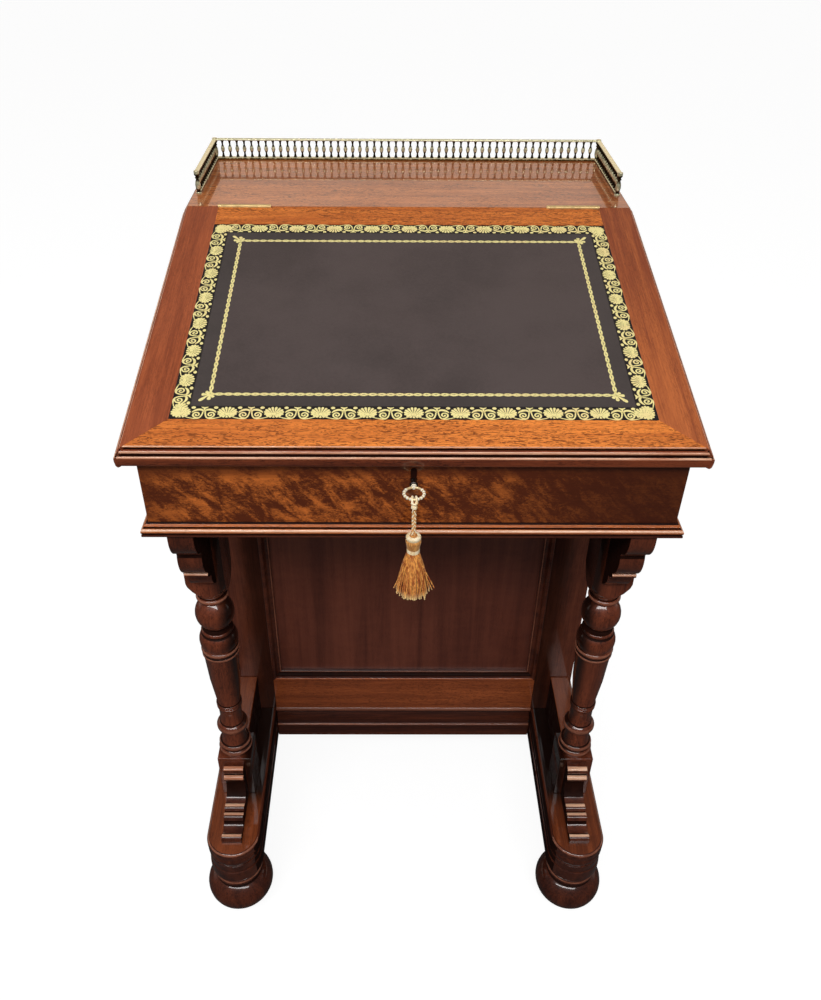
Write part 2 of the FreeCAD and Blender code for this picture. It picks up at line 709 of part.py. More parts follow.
def sledge():
    """A moulded runner with a round nose: two bands with a groove between."""
    half = SLEDGE_HALF_WIDTH
    top = SLEDGE_TOP
    low = SLEDGE_LOW
    groove = low + 33.0
    edge = (
        (half - 5.0, top),
        (half - 1.8, top - 1.6),
        (half, top - 6.0),
        (half, groove + 2.5),
        (half - 3.0, groove),
        (half, groove - 2.5),
        (half, low + 4.0),
        (half - 3.5, low),
    )
    nose = turned(SLEDGE_X, SLEDGE_NOSE_Y, *reversed(edge), sides=2 * SMALL_TURNED_SIDES)
    nose = sheared_off(nose, V(0, SLEDGE_NOSE_Y, 0), V(0, 1, 0))
    blank = face(lambda x, z: V(x, SLEDGE_NOSE_Y, z), (0, top), *edge, (0, low))
    half_run = blank.extrude(V(0, BOX_BACK_Y - SLEDGE_NOSE_Y, 0))
    run = half_run.fuse(half_run.mirror(V(0, 0, 0), ALONG_X))
    run.translate(V(SLEDGE_X, 0, 0))
    return run.fuse(nose).removeSplitter()


def bun_foot(x, y):
    """A turned bun foot with a ring at its neck."""
    return turned(
        x, y,
        (24.0, 0),
        ((BUN_RADIUS, 26.0), (31.0, 53.0)),
        (28.5, 55.0),
        *bead(57.0, 68.0, 28.5, 33.0),
        (28.5, SLEDGE_LOW),
    )


def base():
    """Sledges, their feet, and the plinth rails between them."""
    runner = sledge()
    save("sledge_right", runner)
    save("sledge_left", mirrored(runner, -1))
    feet = [bun_foot(side * SLEDGE_X, y) for side in SIDES for y in (SLEDGE_NOSE_Y, REAR_FOOT_Y)]
    save("bun_feet", *feet)
    width = (-SLEDGE_INNER_X, SLEDGE_INNER_X)
    out = PEDESTAL_FRONT_Y - PLINTH_PROUD
    front = run_along_x(
        width,
        (FRAME_INNER_Y, SLEDGE_LOW),
        (out, SLEDGE_LOW),
        (out, 97.0),
        (out + 1.5, 99.0),
        ((out + 3.0, 112.0), (out + 9.0, 122.0)),
        (out + 9.0, 125.0),
        (out + 4.0, 125.0),
        ((out + 0.5, 129.5), (out + 4.0, SLEDGE_TOP)),
        (FRAME_INNER_Y, SLEDGE_TOP),
    )
    back = box(width, (BACK_INNER_Y, BOX_BACK_Y), (SLEDGE_LOW, SLEDGE_TOP))
    save("cross_plinths", front, back)


def column():
    """A square-ended turned column: ball, cup, rings and a tapered vase shaft."""
    half = BLOCK / 2
    corner = half * 2 ** 0.5
    turning = turned(
        0, 0,
        (20.0, LOWER_BLOCK_TOP),
        *bead(212.5, 221.0, 19.0, 22.0),
        *bead(222.0, 230.0, 18.5, 21.0),
        (16.5, 237.0),
        (15.2, 252.0),
        *bead(253.0, 267.0, 16.0, 20.2),
        (15.0, 269.0),
        (14.6, 294.0),
        (15.8, 297.0),
        (15.8, 305.0),
        (14.8, 307.0),
        ((18.7, 344.0), (21.0, 394.0)),
        (22.4, 397.5),
        (22.4, 400.0),
        (20.6, 402.0),
        *bead(402.5, 409.5, 21.0, 23.2),
        ((23.4, 423.0), (20.5, 432.0)),
        (18.5, 433.0),
        *bead(434.0, 440.0, 16.0, 19.6),
        (13.0, 441.5),
        (13.0, 443.5),
        ((23.3, 464.0), (13.0, 484.5)),
        (13.0, 487.0),
        *bead(488.0, 495.0, 15.5, 19.0),
        (19.5, UPPER_BLOCK_LOW),
    )
    lower = box((-half, half), (-half, half), (SLEDGE_TOP, LOWER_BLOCK_TOP))
    shoulder = turned(
        0, 0,
        (19.5, UPPER_BLOCK_LOW),
        ((26.0, UPPER_BLOCK_LOW + 9.0), (corner, UPPER_BLOCK_LOW + 24.0)),
        (corner, BOX_BASE_Z),
    )
    upper = box((-half, half), (-half, half), (UPPER_BLOCK_LOW, BOX_BASE_Z)).common(shoulder)
    return lower.fuse([turning, upper]).removeSplitter()


def corbel():
    """The bracket under the box: two ovolo lobes stepping in to the column's block.
    It is drawn for the front, as (depth in front of the block, height)."""
    top = BOX_BASE_Z
    return rounded(
        (0.0, top),
        (63.6, top),
        (63.6, top - 7.0),
        ((59.0, top - 26.0), (45.0, top - 39.0)),
        (43.5, top - 43.5),
        (44.0, top - 47.0),
        ((37.0, top - 72.0), (20.5, top - 92.0)),
        (17.5, top - 94.0),
        (17.5, top - 101.0),
        ((10.0, top - 113.0), (0.0, top - 121.0)),
        step=ROUND_STEP / 2,
    )


def scroll_bracket():
    """The bracket on the sledge: reeded upper roll, hollow sweep and reeded toe.
    It is drawn for the front, as (depth in front of the block, height)."""
    low = SLEDGE_TOP
    return rounded(
        (0.0, low),
        (77.0, low),
        (77.0, low + 6.0),
        ((72.5, low + 10.5), (68.0, low + 7.0)),
        ((60.0, low + 5.0), (52.0, low + 9.0)),
        (52.0, low + 13.0),
        ((46.0, low + 18.5), (40.0, low + 14.0)),
        ((34.5, low + 21.0), (28.0, low + 17.0)),
        ((14.0, low + 27.0), (12.0, low + 44.0)),
        ((18.5, low + 50.0), (14.0, low + 56.0)),
        ((15.0, low + 66.0), (6.0, low + 71.0)),
        (0.0, low + 73.0),
    )


def supports():
    """Both columns: corbels before and behind, a scroll before, and a tie back to the pedestal."""
    half = BLOCK / 2
    width = (SLEDGE_X - BRACKET / 2, SLEDGE_X + BRACKET / 2)
    front = face(lambda d, z: V(width[0], COLUMN_Y - half - d, z), *corbel()).extrude(V(BRACKET, 0, 0))
    toe = face(lambda d, z: V(width[0], COLUMN_Y - half - d, z), *scroll_bracket()).extrude(V(BRACKET, 0, 0))
    behind = V(0, COLUMN_Y, 0)
    depth = V(0, 1, 0)
    corbels = [front, front.mirror(behind, depth)]
    tie = face(
        lambda x, z: V(x, COLUMN_Y + half, z),
        (width[0], SLEDGE_TOP),
        (width[1], SLEDGE_TOP),
        (width[1], TIE_TOP - TIE_ARRIS),
        (width[1] - TIE_ARRIS, TIE_TOP),
        (width[0] + TIE_ARRIS, TIE_TOP),
        (width[0], TIE_TOP - TIE_ARRIS),
    ).extrude(V(0, PEDESTAL_FRONT_Y - COLUMN_Y - half, 0))
    brackets = [toe, tie]
    save("corbels", *corbels, *[mirrored(piece, -1) for piece in corbels])
    save("scroll_brackets", *brackets, *[mirrored(piece, -1) for piece in brackets])
    for side, name in zip(SIDES, ("left", "right")):
        post = column()
        post.translate(V(side * SLEDGE_X, COLUMN_Y, 0))
        save(f"column_{name}", post)


# ---------------------------------------------------------------- gallery


def spindle(x, y):
    """A slender spindle that swells to a bulb below its middle."""
    low = HINGE_Z + GALLERY_FOOT_RAIL
    tall = GALLERY_HEIGHT - GALLERY_FOOT_RAIL - GALLERY_TOP_RAIL
    return turned(
        x, y,
        (SPINDLE_END_RADIUS, low),
        (SPINDLE_BULB_RADIUS, low + tall * SPINDLE_BULB_STOP),
        (SPINDLE_END_RADIUS, low + tall),
        sides=SPINDLE_SIDES)


def gallery():
    """Pierced brass gallery on three sides, with a turned post at each end and corner."""
    half = GALLERY_HALF_WIDTH
    back = TOP_BACK_Y - GALLERY_BACK_SET
    front = HINGE_Y + GALLERY_FRONT_SET
    reach = GALLERY_RAIL / 2
    foot = (HINGE_Z, HINGE_Z + GALLERY_FOOT_RAIL)
    head = (HINGE_Z + GALLERY_HEIGHT - GALLERY_TOP_RAIL, HINGE_Z + GALLERY_HEIGHT)
    corners = [(side * half, y) for side in SIDES for y in (front, back)]
    posts = []
    for x, y in corners:
        posts.append(turned(
            x, y,
            (POST_RADIUS, HINGE_Z),
            (POST_RADIUS, HINGE_Z + 3.0),
            (POST_RADIUS * 0.55, HINGE_Z + 5.0),
            (POST_RADIUS * 0.9, HINGE_Z + 13.0),
            (POST_RADIUS * 0.55, HINGE_Z + 21.0),
            (POST_RADIUS, head[0] - 1.0),
            (POST_RADIUS, head[1] + POST_CAP),
            sides=TURNED_SIDES // 2))
    save("gallery_posts", *posts)
    rails = []
    for z in (foot, head):
        rails.append(box((-half + POST_RADIUS, half - POST_RADIUS), (back - reach, back + reach), z))
        for side in SIDES:
            x = side * half
            rails.append(box((x - reach, x + reach), (front + POST_RADIUS, back - POST_RADIUS), z))
    save("gallery_rails", *rails)
    spindles = [spindle(x, back) for x in evenly(-half, half)]
    spindles += [spindle(side * half, y) for side in SIDES for y in evenly(front, back)]
    save("gallery_spindles", *spindles)


def evenly(low, high):
    """Centres of the spindles between two posts, nearest to the wanted pitch."""
    count = round((high - low) / GALLERY_PITCH)
    pitch = (high - low) / count
    return [low + pitch * step for step in range(1, count)]


# ---------------------------------------------------------------- lock, key and tassel


def lock_limits():
    """The lock's case, let in from the back of the box front."""
    back = BOX_FRONT_Y + BOX_FRONT
    top = under_slope(back - LOCK_DEPTH) - LOCK_SHELL
    return (-LOCK_WIDTH / 2, LOCK_WIDTH / 2), (back - LOCK_DEPTH, back), (top - LOCK_HEIGHT, top)


def bolt_place():
    """Centre of the sliding bolt in depth and height."""
    y, z = lock_limits()[1:]
    return sum(y) / 2, z[1] - 5.5


def lock_recess():
    """Room for the lock in the front board, open above for the staple."""
    x, y, z = lock_limits()
    body = box(x, y, (z[0], z[1]))
    way = box((-STAPLE_WIDTH, STAPLE_WIDTH), (y[0] - 1.0, y[1]), (z[1], z[1] + BOARD))
    return body.fuse(way)


def keyhole():
    """Round hole with a slot under it, through the front board."""
    hole = Part.makeCylinder(SHANK_BORE, BOX_FRONT, V(0, BOX_FRONT_Y, KEY_Z), V(0, 1, 0))
    slot = box((-1.6, 1.6), (BOX_FRONT_Y, BOX_FRONT_Y + BOX_FRONT), (KEY_Z - 9.0, KEY_Z))
    return hole.fuse(slot)


def lock():
    """Case with a staple slot, sliding bolt, and the lid's link plate with its staple."""
    x, y, z = lock_limits()
    bolt_y, bolt_z = bolt_place()
    case = box(x, y, z)
    inner = box(
        (x[0] + LOCK_SHELL, x[1] - LOCK_SHELL), (y[0] + LOCK_SHELL, y[1] - LOCK_SHELL),
        (z[0] + LOCK_SHELL, z[1] - LOCK_SHELL))
    case = case.cut(inner)
    case = case.cut(box((-STAPLE_WIDTH, STAPLE_WIDTH), (y[0], y[1] - LOCK_SHELL), (z[1] - LOCK_SHELL, z[1])))
    case = case.cut(Part.makeCylinder(SHANK_BORE, LOCK_SHELL, V(0, y[0], KEY_Z), V(0, 1, 0)))
    save("lock_case", case)

    bolt_height = (bolt_z - BOLT_HEIGHT / 2, bolt_z + BOLT_HEIGHT / 2)
    bolt_depth = (y[0] + LOCK_SHELL + BOLT_FIT, y[1] - LOCK_SHELL - BOLT_FIT)
    start = x[0] + LOCK_SHELL + 1.0
    bolt = box((start, -STAPLE_WIDTH / 2 - 1.0), bolt_depth, bolt_height)
    save("lock_bolt", bolt)

    staple_y = (bolt_y - STAPLE / 2, bolt_y + STAPLE / 2)
    staple_low = bolt_z - BOLT_HEIGHT
    staple = run_along_x(
        (-STAPLE_WIDTH / 2, STAPLE_WIDTH / 2),
        (staple_y[0], staple_low),
        (staple_y[1], staple_low),
        (staple_y[1], under_slope(staple_y[1], 0)),
        (staple_y[0], under_slope(staple_y[0], 0)),
    )
    eye = box(
        (-STAPLE_WIDTH / 2, -STAPLE_WIDTH / 2 + BOLT_TRAVEL), staple_y,
        (bolt_height[0] - 1.0, bolt_height[1] + 1.0))
    staple = staple.cut(eye)
    save("lock_staple", staple)


def bow():
    """The key's ring, a level loop of six-sided wire whose front lies on the cord."""
    centre = BOW_TIP_Y + BOW_RADIUS
    rings = []
    for step in range(BOW_WIRE_SIDES):
        turn = 2 * pi * step / BOW_WIRE_SIDES
        radius = BOW_RADIUS + BOW_WIRE * cos(turn)
        height = KEY_Z + BOW_WIRE * sin(turn)
        rings.append(ring_of_points(0, centre, height, radius, 2 * SMALL_TURNED_SIDES))
    faces = []
    for index, ring in enumerate(rings):
        faces += band(rings[index - 1], ring)
    return closed(faces)


def key():
    """Steel shank and bit with a brass ring bow lying level."""
    back = lock_limits()[1][1] - LOCK_SHELL
    ring_y = BOW_TIP_Y + BOW_RADIUS
    shank_front = ring_y + BOW_RADIUS - BOW_WIRE
    shank_end = back - 1.0
    shank = Part.makeCylinder(SHANK_RADIUS, shank_end - shank_front, V(0, shank_front, KEY_Z), V(0, 1, 0))
    collar_front = shank_front + 3.0
    collar = Part.makeCylinder(SHANK_RADIUS * 1.6, 3.5, V(0, collar_front, KEY_Z), V(0, 1, 0))
    bit = box((0, 9.0), (shank_end - 6.0, shank_end - 1.0), (KEY_Z - 1.2, KEY_Z + 1.2))
    save("key", shank.fuse([collar, bit, bow()]).removeSplitter())


def tassel():
    """Cord knot on the bow, a collar under it, the cord, the bound head and the skirt."""
    knot = turned(
        0, 0,
        (CORD_KNOT_RADIUS * 0.5, -CORD_KNOT_RADIUS * 0.85),
        (CORD_KNOT_RADIUS, -CORD_KNOT_RADIUS * 0.35),
        (CORD_KNOT_RADIUS, CORD_KNOT_RADIUS * 0.35),
        (CORD_KNOT_RADIUS * 0.5, CORD_KNOT_RADIUS * 0.85),
        sides=SMALL_TURNED_SIDES,
    )
    knot.rotate(V(0, 0, 0), ALONG_X, 90)
    knot.translate(V(0, BOW_TIP_Y, KEY_Z))
    save("cord_knot", knot.cut(bow()))
    collar_top = KEY_Z - CORD_KNOT_RADIUS - CORD_GAP
    collar_low = collar_top - CORD_COLLAR
    collar = turned(0, CORD_Y, (CORD_RADIUS, collar_low), (CORD_RADIUS, collar_top), sides=SMALL_TURNED_SIDES)
    save("cord_collar", collar)
    top = collar_low - CORD_GAP
    cord = turned(
        0, CORD_Y,
        (CORD_RADIUS, TASSEL_HEAD_TOP),
        (CORD_RADIUS, top - CORD_RADIUS * 0.8),
        (CORD_RADIUS * 0.4, top),
        sides=SMALL_TURNED_SIDES,
    )
    save("tassel_cord", cord)
    neck = TASSEL_HEAD_RADIUS * 0.72
    head = turned(
        0, CORD_Y,
        (neck, TASSEL_HEAD_LOW),
        (neck, TASSEL_HEAD_LOW + 4.0),
        (TASSEL_HEAD_RADIUS, TASSEL_HEAD_LOW + 8.0),
        (TASSEL_HEAD_RADIUS, TASSEL_HEAD_LOW + 12.5),
        (CORD_RADIUS * 1.3, TASSEL_HEAD_TOP),
    )
    save("tassel_head", head)
    skirt = turned(
        0, CORD_Y,
        (TASSEL_SKIRT_RADIUS, TASSEL_LOW),
        (TASSEL_HEAD_RADIUS * 1.35, TASSEL_HEAD_LOW - TASSEL_SKIRT * 0.42),
        (neck, TASSEL_HEAD_LOW),
    )
    save("tassel_skirt", skirt)


# ---------------------------------------------------------------- the whole desk

os.makedirs("parts", exist_ok=True)
lid()
top_board()
hinges()
writing_box()
base_moulding()
box_interior()
pedestal_front()
carcass()
pedestal_back()
drawers()
base()
supports()
gallery()
lock()
key()
tassel()
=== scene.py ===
from math import atan2, ceil, cos, hypot, pi, radians, sin
from random import Random

import bpy
from bpy.props import FloatProperty, FloatVectorProperty, IntProperty, PointerProperty
from mathutils import Matrix, Vector


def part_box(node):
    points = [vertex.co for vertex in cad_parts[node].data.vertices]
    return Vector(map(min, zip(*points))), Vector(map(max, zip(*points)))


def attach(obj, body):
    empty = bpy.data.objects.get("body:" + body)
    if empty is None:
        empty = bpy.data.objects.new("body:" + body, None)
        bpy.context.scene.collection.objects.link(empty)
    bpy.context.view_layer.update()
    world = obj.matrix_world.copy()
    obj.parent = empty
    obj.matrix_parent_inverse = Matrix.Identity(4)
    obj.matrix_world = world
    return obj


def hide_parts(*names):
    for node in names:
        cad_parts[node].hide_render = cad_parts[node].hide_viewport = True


# A Victorian davenport desk in polished mahogany, with a tooled leather slope, a brass
# gallery, a key on a tassel, and turned columns on sledge feet.
# Metres, +X to the sitter's right, +Y to the back, +Z up. Profiles are in millimetres.

bl_info = {
    "name": "Davenport Desk",
    "version": (1, 0, 0),
    "blender": (4, 5, 0),
    "location": "3D View > Sidebar > Davenport",
    "description": "Dresses a davenport desk: mouldings, turnings, tooled leather and brass",
    "category": "Object",
}

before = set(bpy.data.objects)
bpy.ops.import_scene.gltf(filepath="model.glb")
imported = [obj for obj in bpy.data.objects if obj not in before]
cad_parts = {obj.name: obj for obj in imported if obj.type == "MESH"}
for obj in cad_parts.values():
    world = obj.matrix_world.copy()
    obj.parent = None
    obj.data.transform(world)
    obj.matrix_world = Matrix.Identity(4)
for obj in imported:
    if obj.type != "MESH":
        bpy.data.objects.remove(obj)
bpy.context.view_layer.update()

MM = 0.001
SIDES = (-1, 1)

# The slope and the flat top
HINGE_Y = 123.0
HINGE_Z = 842.0
SLOPE_RUN = 400.0
SLOPE_RISE = 82.0
SLOPE = atan2(SLOPE_RISE, SLOPE_RUN)
SLOPE_LENGTH = hypot(SLOPE_RISE, SLOPE_RUN)
SLOPE_FRONT = HINGE_Y - SLOPE_LENGTH
TOP_HALF_WIDTH = 268.8
TOP_BACK = 319.0
BOARD = 22.0
BOARD_LOW = HINGE_Z - BOARD
HINGE_GAP = 0.2
HINGE_ENDS = (166.5, 230.5)
LEATHER_HALF_WIDTH = 229.8
LEATHER_FRONT = SLOPE_FRONT + 36.6
LEATHER_BACK = HINGE_Y - 39.1
LEATHER_TOP = HINGE_Z - 0.2
LEATHER = 1.2
LINE_INSET = 34.8
RIM = 0.25

# The body of the desk
BOX_FRONT_Y = -267.4
BOX_BACK_Y = 310.5
BOX_HALF_WIDTH = 259.2
BOX_BASE_Z = 650.6
PEDESTAL_FRONT_Y = -56.2
PANEL_HALF_WIDTH = 194.0
PANEL_LOW, PANEL_HIGH = 199.7, 612.0
DRAWER_FACE_X = 247.2
SLEDGE_X = 230.0
SLEDGE_LOW = 72.0
SLEDGE_TOP = 134.4
SLEDGE_HALF = 35.5
NOSE_Y = HINGE_Y - SLOPE_RUN + 9.6
COLUMN_Y = -183.9
BLOCK = 45.0
BRACKET = 26.0
BRACKET_FRONT = COLUMN_Y - BLOCK / 2
TIE_TOP = 205.0

# The gallery, the key and its tassel
GALLERY_HALF_WIDTH = 261.5
GALLERY_FRONT, GALLERY_BACK = HINGE_Y + 46.5, TOP_BACK - 6.0
GALLERY_TALL = 27.4
POST = 3.4
BOW_TIP_Y = -298.8
KEY_Z = 717.0
CORD_Y = -302.0
CORD_TOP = 709.0
HEAD_TOP = 677.6
HEAD_LOW = 655.6
SKIRT_LOW = 609.0


# ---------------- settings


def colour_setting(name, description, default):
    return FloatVectorProperty(
        name=name, description=description, default=default, size=3, min=0, max=1, subtype="COLOR")


def length_setting(name, description, default, low, high):
    return FloatProperty(
        name=name, description=description, default=default, min=low, max=high, unit="LENGTH",
        subtype="DISTANCE")


def power_setting(name, description, default):
    return FloatProperty(name=name, description=description, default=default, min=0, max=500, unit="POWER")


class DavenportSizes(bpy.types.PropertyGroup):
    """How finely the desk is worked."""

    turning_steps: IntProperty(
        name="Turning steps", description="Facets round a large turning", default=56, min=12, max=128)
    edge: length_setting("Eased edge", "Width of the softened edge on flat boards", 0.0007, 0.0001, 0.003)
    spindle_pitch: length_setting(
        "Spindle pitch", "Distance between the gallery's spindles", 0.0098, 0.006, 0.02)
    band_repeat: length_setting(
        "Border repeat", "Length of one rosette and scroll in the tooled border", 0.0425, 0.03, 0.08)
    strands: IntProperty(
        name="Tassel strands", description="Threads in the tassel's skirt", default=190, min=40, max=400)


class DavenportFinish(bpy.types.PropertyGroup):
    """Colours of the desk."""

    lid_light: colour_setting("Lid, light", "Lighter tone of the slope's mahogany", (0.86, 0.26, 0.042))
    lid_dark: colour_setting("Lid, dark", "Darker tone of the slope's mahogany", (0.50, 0.12, 0.020))
    body_light: colour_setting("Body, light", "Lighter tone of the dark mahogany", (0.135, 0.031, 0.013))
    body_dark: colour_setting("Body, dark", "Darker tone of the dark mahogany", (0.034, 0.0075, 0.0045))
    lining: colour_setting("Linings", "Waxed wood of the drawers and the box inside", (0.36, 0.18, 0.075))
    leather: colour_setting("Leather", "Colour of the hide", (0.066, 0.048, 0.045))
    gilt: colour_setting("Gilding", "Gold leaf of the tooled border", (0.90, 0.78, 0.33))
    brass: colour_setting("Brass", "Gallery, hinges and lock", (0.90, 0.86, 0.56))


class DavenportStudio(bpy.types.PropertyGroup):
    """Camera and light."""

    key_power: power_setting("Key light", "Power of the wide soft light above the viewer", 33.0)
    top_power: power_setting("Top light", "Power of the soft light over the desk", 16.0)
    surround: FloatProperty(
        name="Surround", description="Brightness of the room around the desk", default=0.36, min=0, max=4)


def sizes():
    return bpy.context.scene.davenport_sizes


def finish():
    return bpy.context.scene.davenport_finish


# ---------------- working tools


def deselect():
    if bpy.context.object and bpy.context.object.mode != "OBJECT":
        bpy.ops.object.mode_set(mode="OBJECT")
    bpy.ops.object.select_all(action="DESELECT")


def pick(*pieces):
    """Selects these pieces alone; the first is the active one."""
    deselect()
    for piece in pieces:
        piece.select_set(True)
    bpy.context.view_layer.objects.active = pieces[0]


def edit(piece):
    pick(piece)
    bpy.ops.object.mode_set(mode="EDIT")
    bpy.ops.mesh.select_all(action="SELECT")


def done():
    bpy.ops.object.mode_set(mode="OBJECT")


def named(name):
    piece = bpy.context.object
    piece.name = name
    piece.data.name = name
    return piece


def remove(pieces):
    for piece in pieces:
        bpy.data.objects.remove(piece)


def arc_points(start, middle, end, step=radians(11)):
    """Points after start on the arc through three points in a plane."""
    (ax, ay), (bx, by), (cx, cy) = start, middle, end
    d = 2 * (ax * (by - cy) + bx * (cy - ay) + cx * (ay - by))
    if abs(d) < 1e-9:
        return [end]
    a2, b2, c2 = ax * ax + ay * ay, bx * bx + by * by, cx * cx + cy * cy
    ux = (a2 * (by - cy) + b2 * (cy - ay) + c2 * (ay - by)) / d
    uy = (a2 * (cx - bx) + b2 * (ax - cx) + c2 * (bx - ax)) / d
    radius = hypot(ax - ux, ay - uy)
    first = atan2(ay - uy, ax - ux)
    turn = (atan2(cy - uy, cx - ux) - first) % (2 * pi)
    if (atan2(by - uy, bx - ux) - first) % (2 * pi) > turn:
        turn -= 2 * pi
    count = max(2, ceil(abs(turn) / step))
    return [
        (ux + radius * cos(first + turn * i / count), uy + radius * sin(first + turn * i / count))
        for i in range(1, count + 1)
    ]


def outline(*moves, step=radians(11), at=(0, 0), scale=(1, 1)):
    """Corners of a profile drawn from a point, at a scale or flipped on either axis.
    A move is a corner (u, v), or an arc ((u, v) on the way, (u, v) end)."""
    def set_out(point):
        return (at[0] + scale[0] * point[0], at[1] + scale[1] * point[1])

    points = []
    for move in moves:
        if isinstance(move[0], tuple):
            points += arc_points(points[-1], set_out(move[0]), set_out(move[1]), step)
        elif not points or set_out(move) != points[-1]:
            points.append(set_out(move))
    return points


def bead(low, high, inner, outer):
    """A round bead on a turning, as profile moves from its lower to its upper edge."""
    return ((inner, low), ((outer, (low + high) / 2), (inner, high)))


def draw(name, points):
    """A new piece that is a line of points in millimetres, left open in edit mode."""
    deselect()
    bpy.ops.mesh.primitive_plane_add(size=MM, location=(0, 0, 0))
    piece = named(name)
    bpy.ops.object.mode_set(mode="EDIT")
    bpy.ops.mesh.select_all(action="SELECT")
    bpy.ops.mesh.merge(type="CENTER")
    at = Vector((0, 0, 0))
    for index, point in enumerate(points):
        step = (Vector(point) - at) * MM
        if index:
            bpy.ops.mesh.extrude_region_move(TRANSFORM_OT_translate={"value": step})
        else:
            bpy.ops.transform.translate(value=step)
        at = Vector(point)
    bpy.ops.mesh.select_all(action="SELECT")
    return piece


def tidy_skin(angle=32):
    """Merges doubles, turns the faces outward, leaves edit mode and smooths the soft edges."""
    bpy.ops.mesh.select_all(action="SELECT")
    bpy.ops.mesh.remove_doubles(threshold=2e-6)
    bpy.ops.mesh.normals_make_consistent(inside=False)
    done()
    bpy.ops.object.shade_smooth_by_angle(angle=radians(angle))
    return bpy.context.object


def turned(name, *moves, at=(0, 0), low=0.0, scale=(1, 1), steps=None, angle=32):
    """A lathe-turned piece about an upright axis; the profile is (radius, height above low)."""
    x, y = at
    profile = outline(*moves, at=(0, low), scale=scale)
    if profile[0][0] > 0:
        profile.insert(0, (0, profile[0][1]))
    if profile[-1][0] > 0:
        profile.append((0, profile[-1][1]))
    draw(name, [(x + r, y, z) for r, z in profile])
    bpy.ops.mesh.spin(
        steps=steps or sizes().turning_steps, angle=2 * pi, center=(x * MM, y * MM, 0), axis=(0, 0, 1))
    return tidy_skin(angle)


def run(name, axis, start, length, section):
    """A closed section in millimetres across an axis, run out along it."""
    place = "XYZ".index(axis)
    along = Vector((0, 0, 0))
    along[place] = length * MM
    draw(name, [(*point[:place], start, *point[place:]) for point in section])
    bpy.ops.mesh.edge_face_add()
    bpy.ops.mesh.extrude_region_move(TRANSFORM_OT_translate={"value": along})
    return tidy_skin()


def trim(piece, point, normal):
    """Saws off what lies on the normal's side of a plane, and closes the cut."""
    edit(piece)
    bpy.ops.mesh.bisect(
        plane_co=Vector(point) * MM, plane_no=normal, use_fill=True, clear_outer=True, clear_inner=False)
    return tidy_skin()


def modify(piece, kind, **settings):
    """Adds a modifier and applies it."""
    pick(piece)
    bpy.ops.object.modifier_add(type=kind)
    modifier = piece.modifiers[-1]
    for key, value in settings.items():
        setattr(modifier, key, value)
    bpy.ops.object.modifier_apply(modifier=modifier.name)
    return piece


def cut(piece, *tools, keep=False):
    """Cuts the tools out of a piece, or keeps what it shares with them, and clears the tools away."""
    for tool in tools:
        modify(piece, "BOOLEAN", object=tool, operation="INTERSECT" if keep else "DIFFERENCE", solver="EXACT")
    remove(tools)
    return piece


def eased(piece, width=None, segments=2, angle=35):
    """Softens the hard edges, and smooths the shading of the rest."""
    modify(
        piece, "BEVEL", width=width or sizes().edge, segments=segments, limit_method="ANGLE",
        angle_limit=radians(angle), harden_normals=False, use_clamp_overlap=True, miter_outer="MITER_ARC")
    pick(piece)
    bpy.ops.object.shade_smooth_by_angle(angle=radians(38))
    return levelled(piece)


def levelled(piece):
    """Keeps the shading of wide flat faces flat, beside the soft edges."""
    return modify(piece, "WEIGHTED_NORMAL", mode="FACE_AREA", weight=100, keep_sharp=True)


def primitive(kind, name, **settings):
    """A stock shape, with its place and size written into its mesh."""
    deselect()
    getattr(bpy.ops.mesh, f"primitive_{kind}_add")(**settings)
    piece = named(name)
    bpy.ops.object.transform_apply(location=True, rotation=True, scale=True)
    return piece


def block(name, low, high):
    """A rectangular block between two corners in millimetres."""
    low, high = Vector(low) * MM, Vector(high) * MM
    return primitive("cube", name, size=1, location=(low + high) / 2, scale=high - low)


def joined(name, pieces):
    pick(*pieces)
    if len(pieces) > 1:
        bpy.ops.object.join()
    return named(name)


def moved(piece, shift):
    """Moves the mesh by millimetres."""
    edit(piece)
    bpy.ops.transform.translate(value=Vector(shift) * MM)
    done()
    return piece


def copied(piece, shift=(0, 0, 0), mirror=None):
    """A copy with its own mesh, moved by millimetres or mirrored through a plane square to an axis."""
    pick(piece)
    bpy.ops.object.duplicate(linked=False)
    copy = bpy.context.object
    if mirror:
        axis, place = mirror
        edit(copy)
        bpy.ops.transform.mirror(
            orient_type="GLOBAL", constraint_axis=tuple(letter == axis for letter in "XYZ"),
            center_override=tuple(place * MM if letter == axis else 0 for letter in "XYZ"))
        bpy.ops.mesh.select_all(action="SELECT")
        bpy.ops.mesh.normals_make_consistent(inside=False)
        done()
    return moved(copy, shift)


def placed(piece, places):
    """Copies of a piece at each place on the ground plan, instead of the piece."""
    copies = [copied(piece, (x, y, 0)) for x, y in places]
    remove([piece])
    return copies


def rotated(piece, turn, axis, centre):
    """Turns the mesh by the right-hand rule about an axis through a point in millimetres."""
    edit(piece)
    bpy.ops.transform.rotate(
        value=-turn, orient_axis=axis, orient_type="GLOBAL", center_override=tuple(Vector(centre) * MM))
    done()
    return piece


def laid(piece, turn, axis, place):
    """Turns a piece made at the origin about an axis, and moves it to its place."""
    return moved(rotated(piece, turn, axis, (0, 0, 0)), place)


def finished(piece, material, *nodes, body="carcass", slot="mahogany"):
    """Gives a piece its finish and its body, and hides the frame pieces that it stands in for."""
    if material:
        piece.data.materials.clear()
        piece.data.materials.append(material)
    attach(piece, body)
    if nodes:
        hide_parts(*nodes)
    return piece


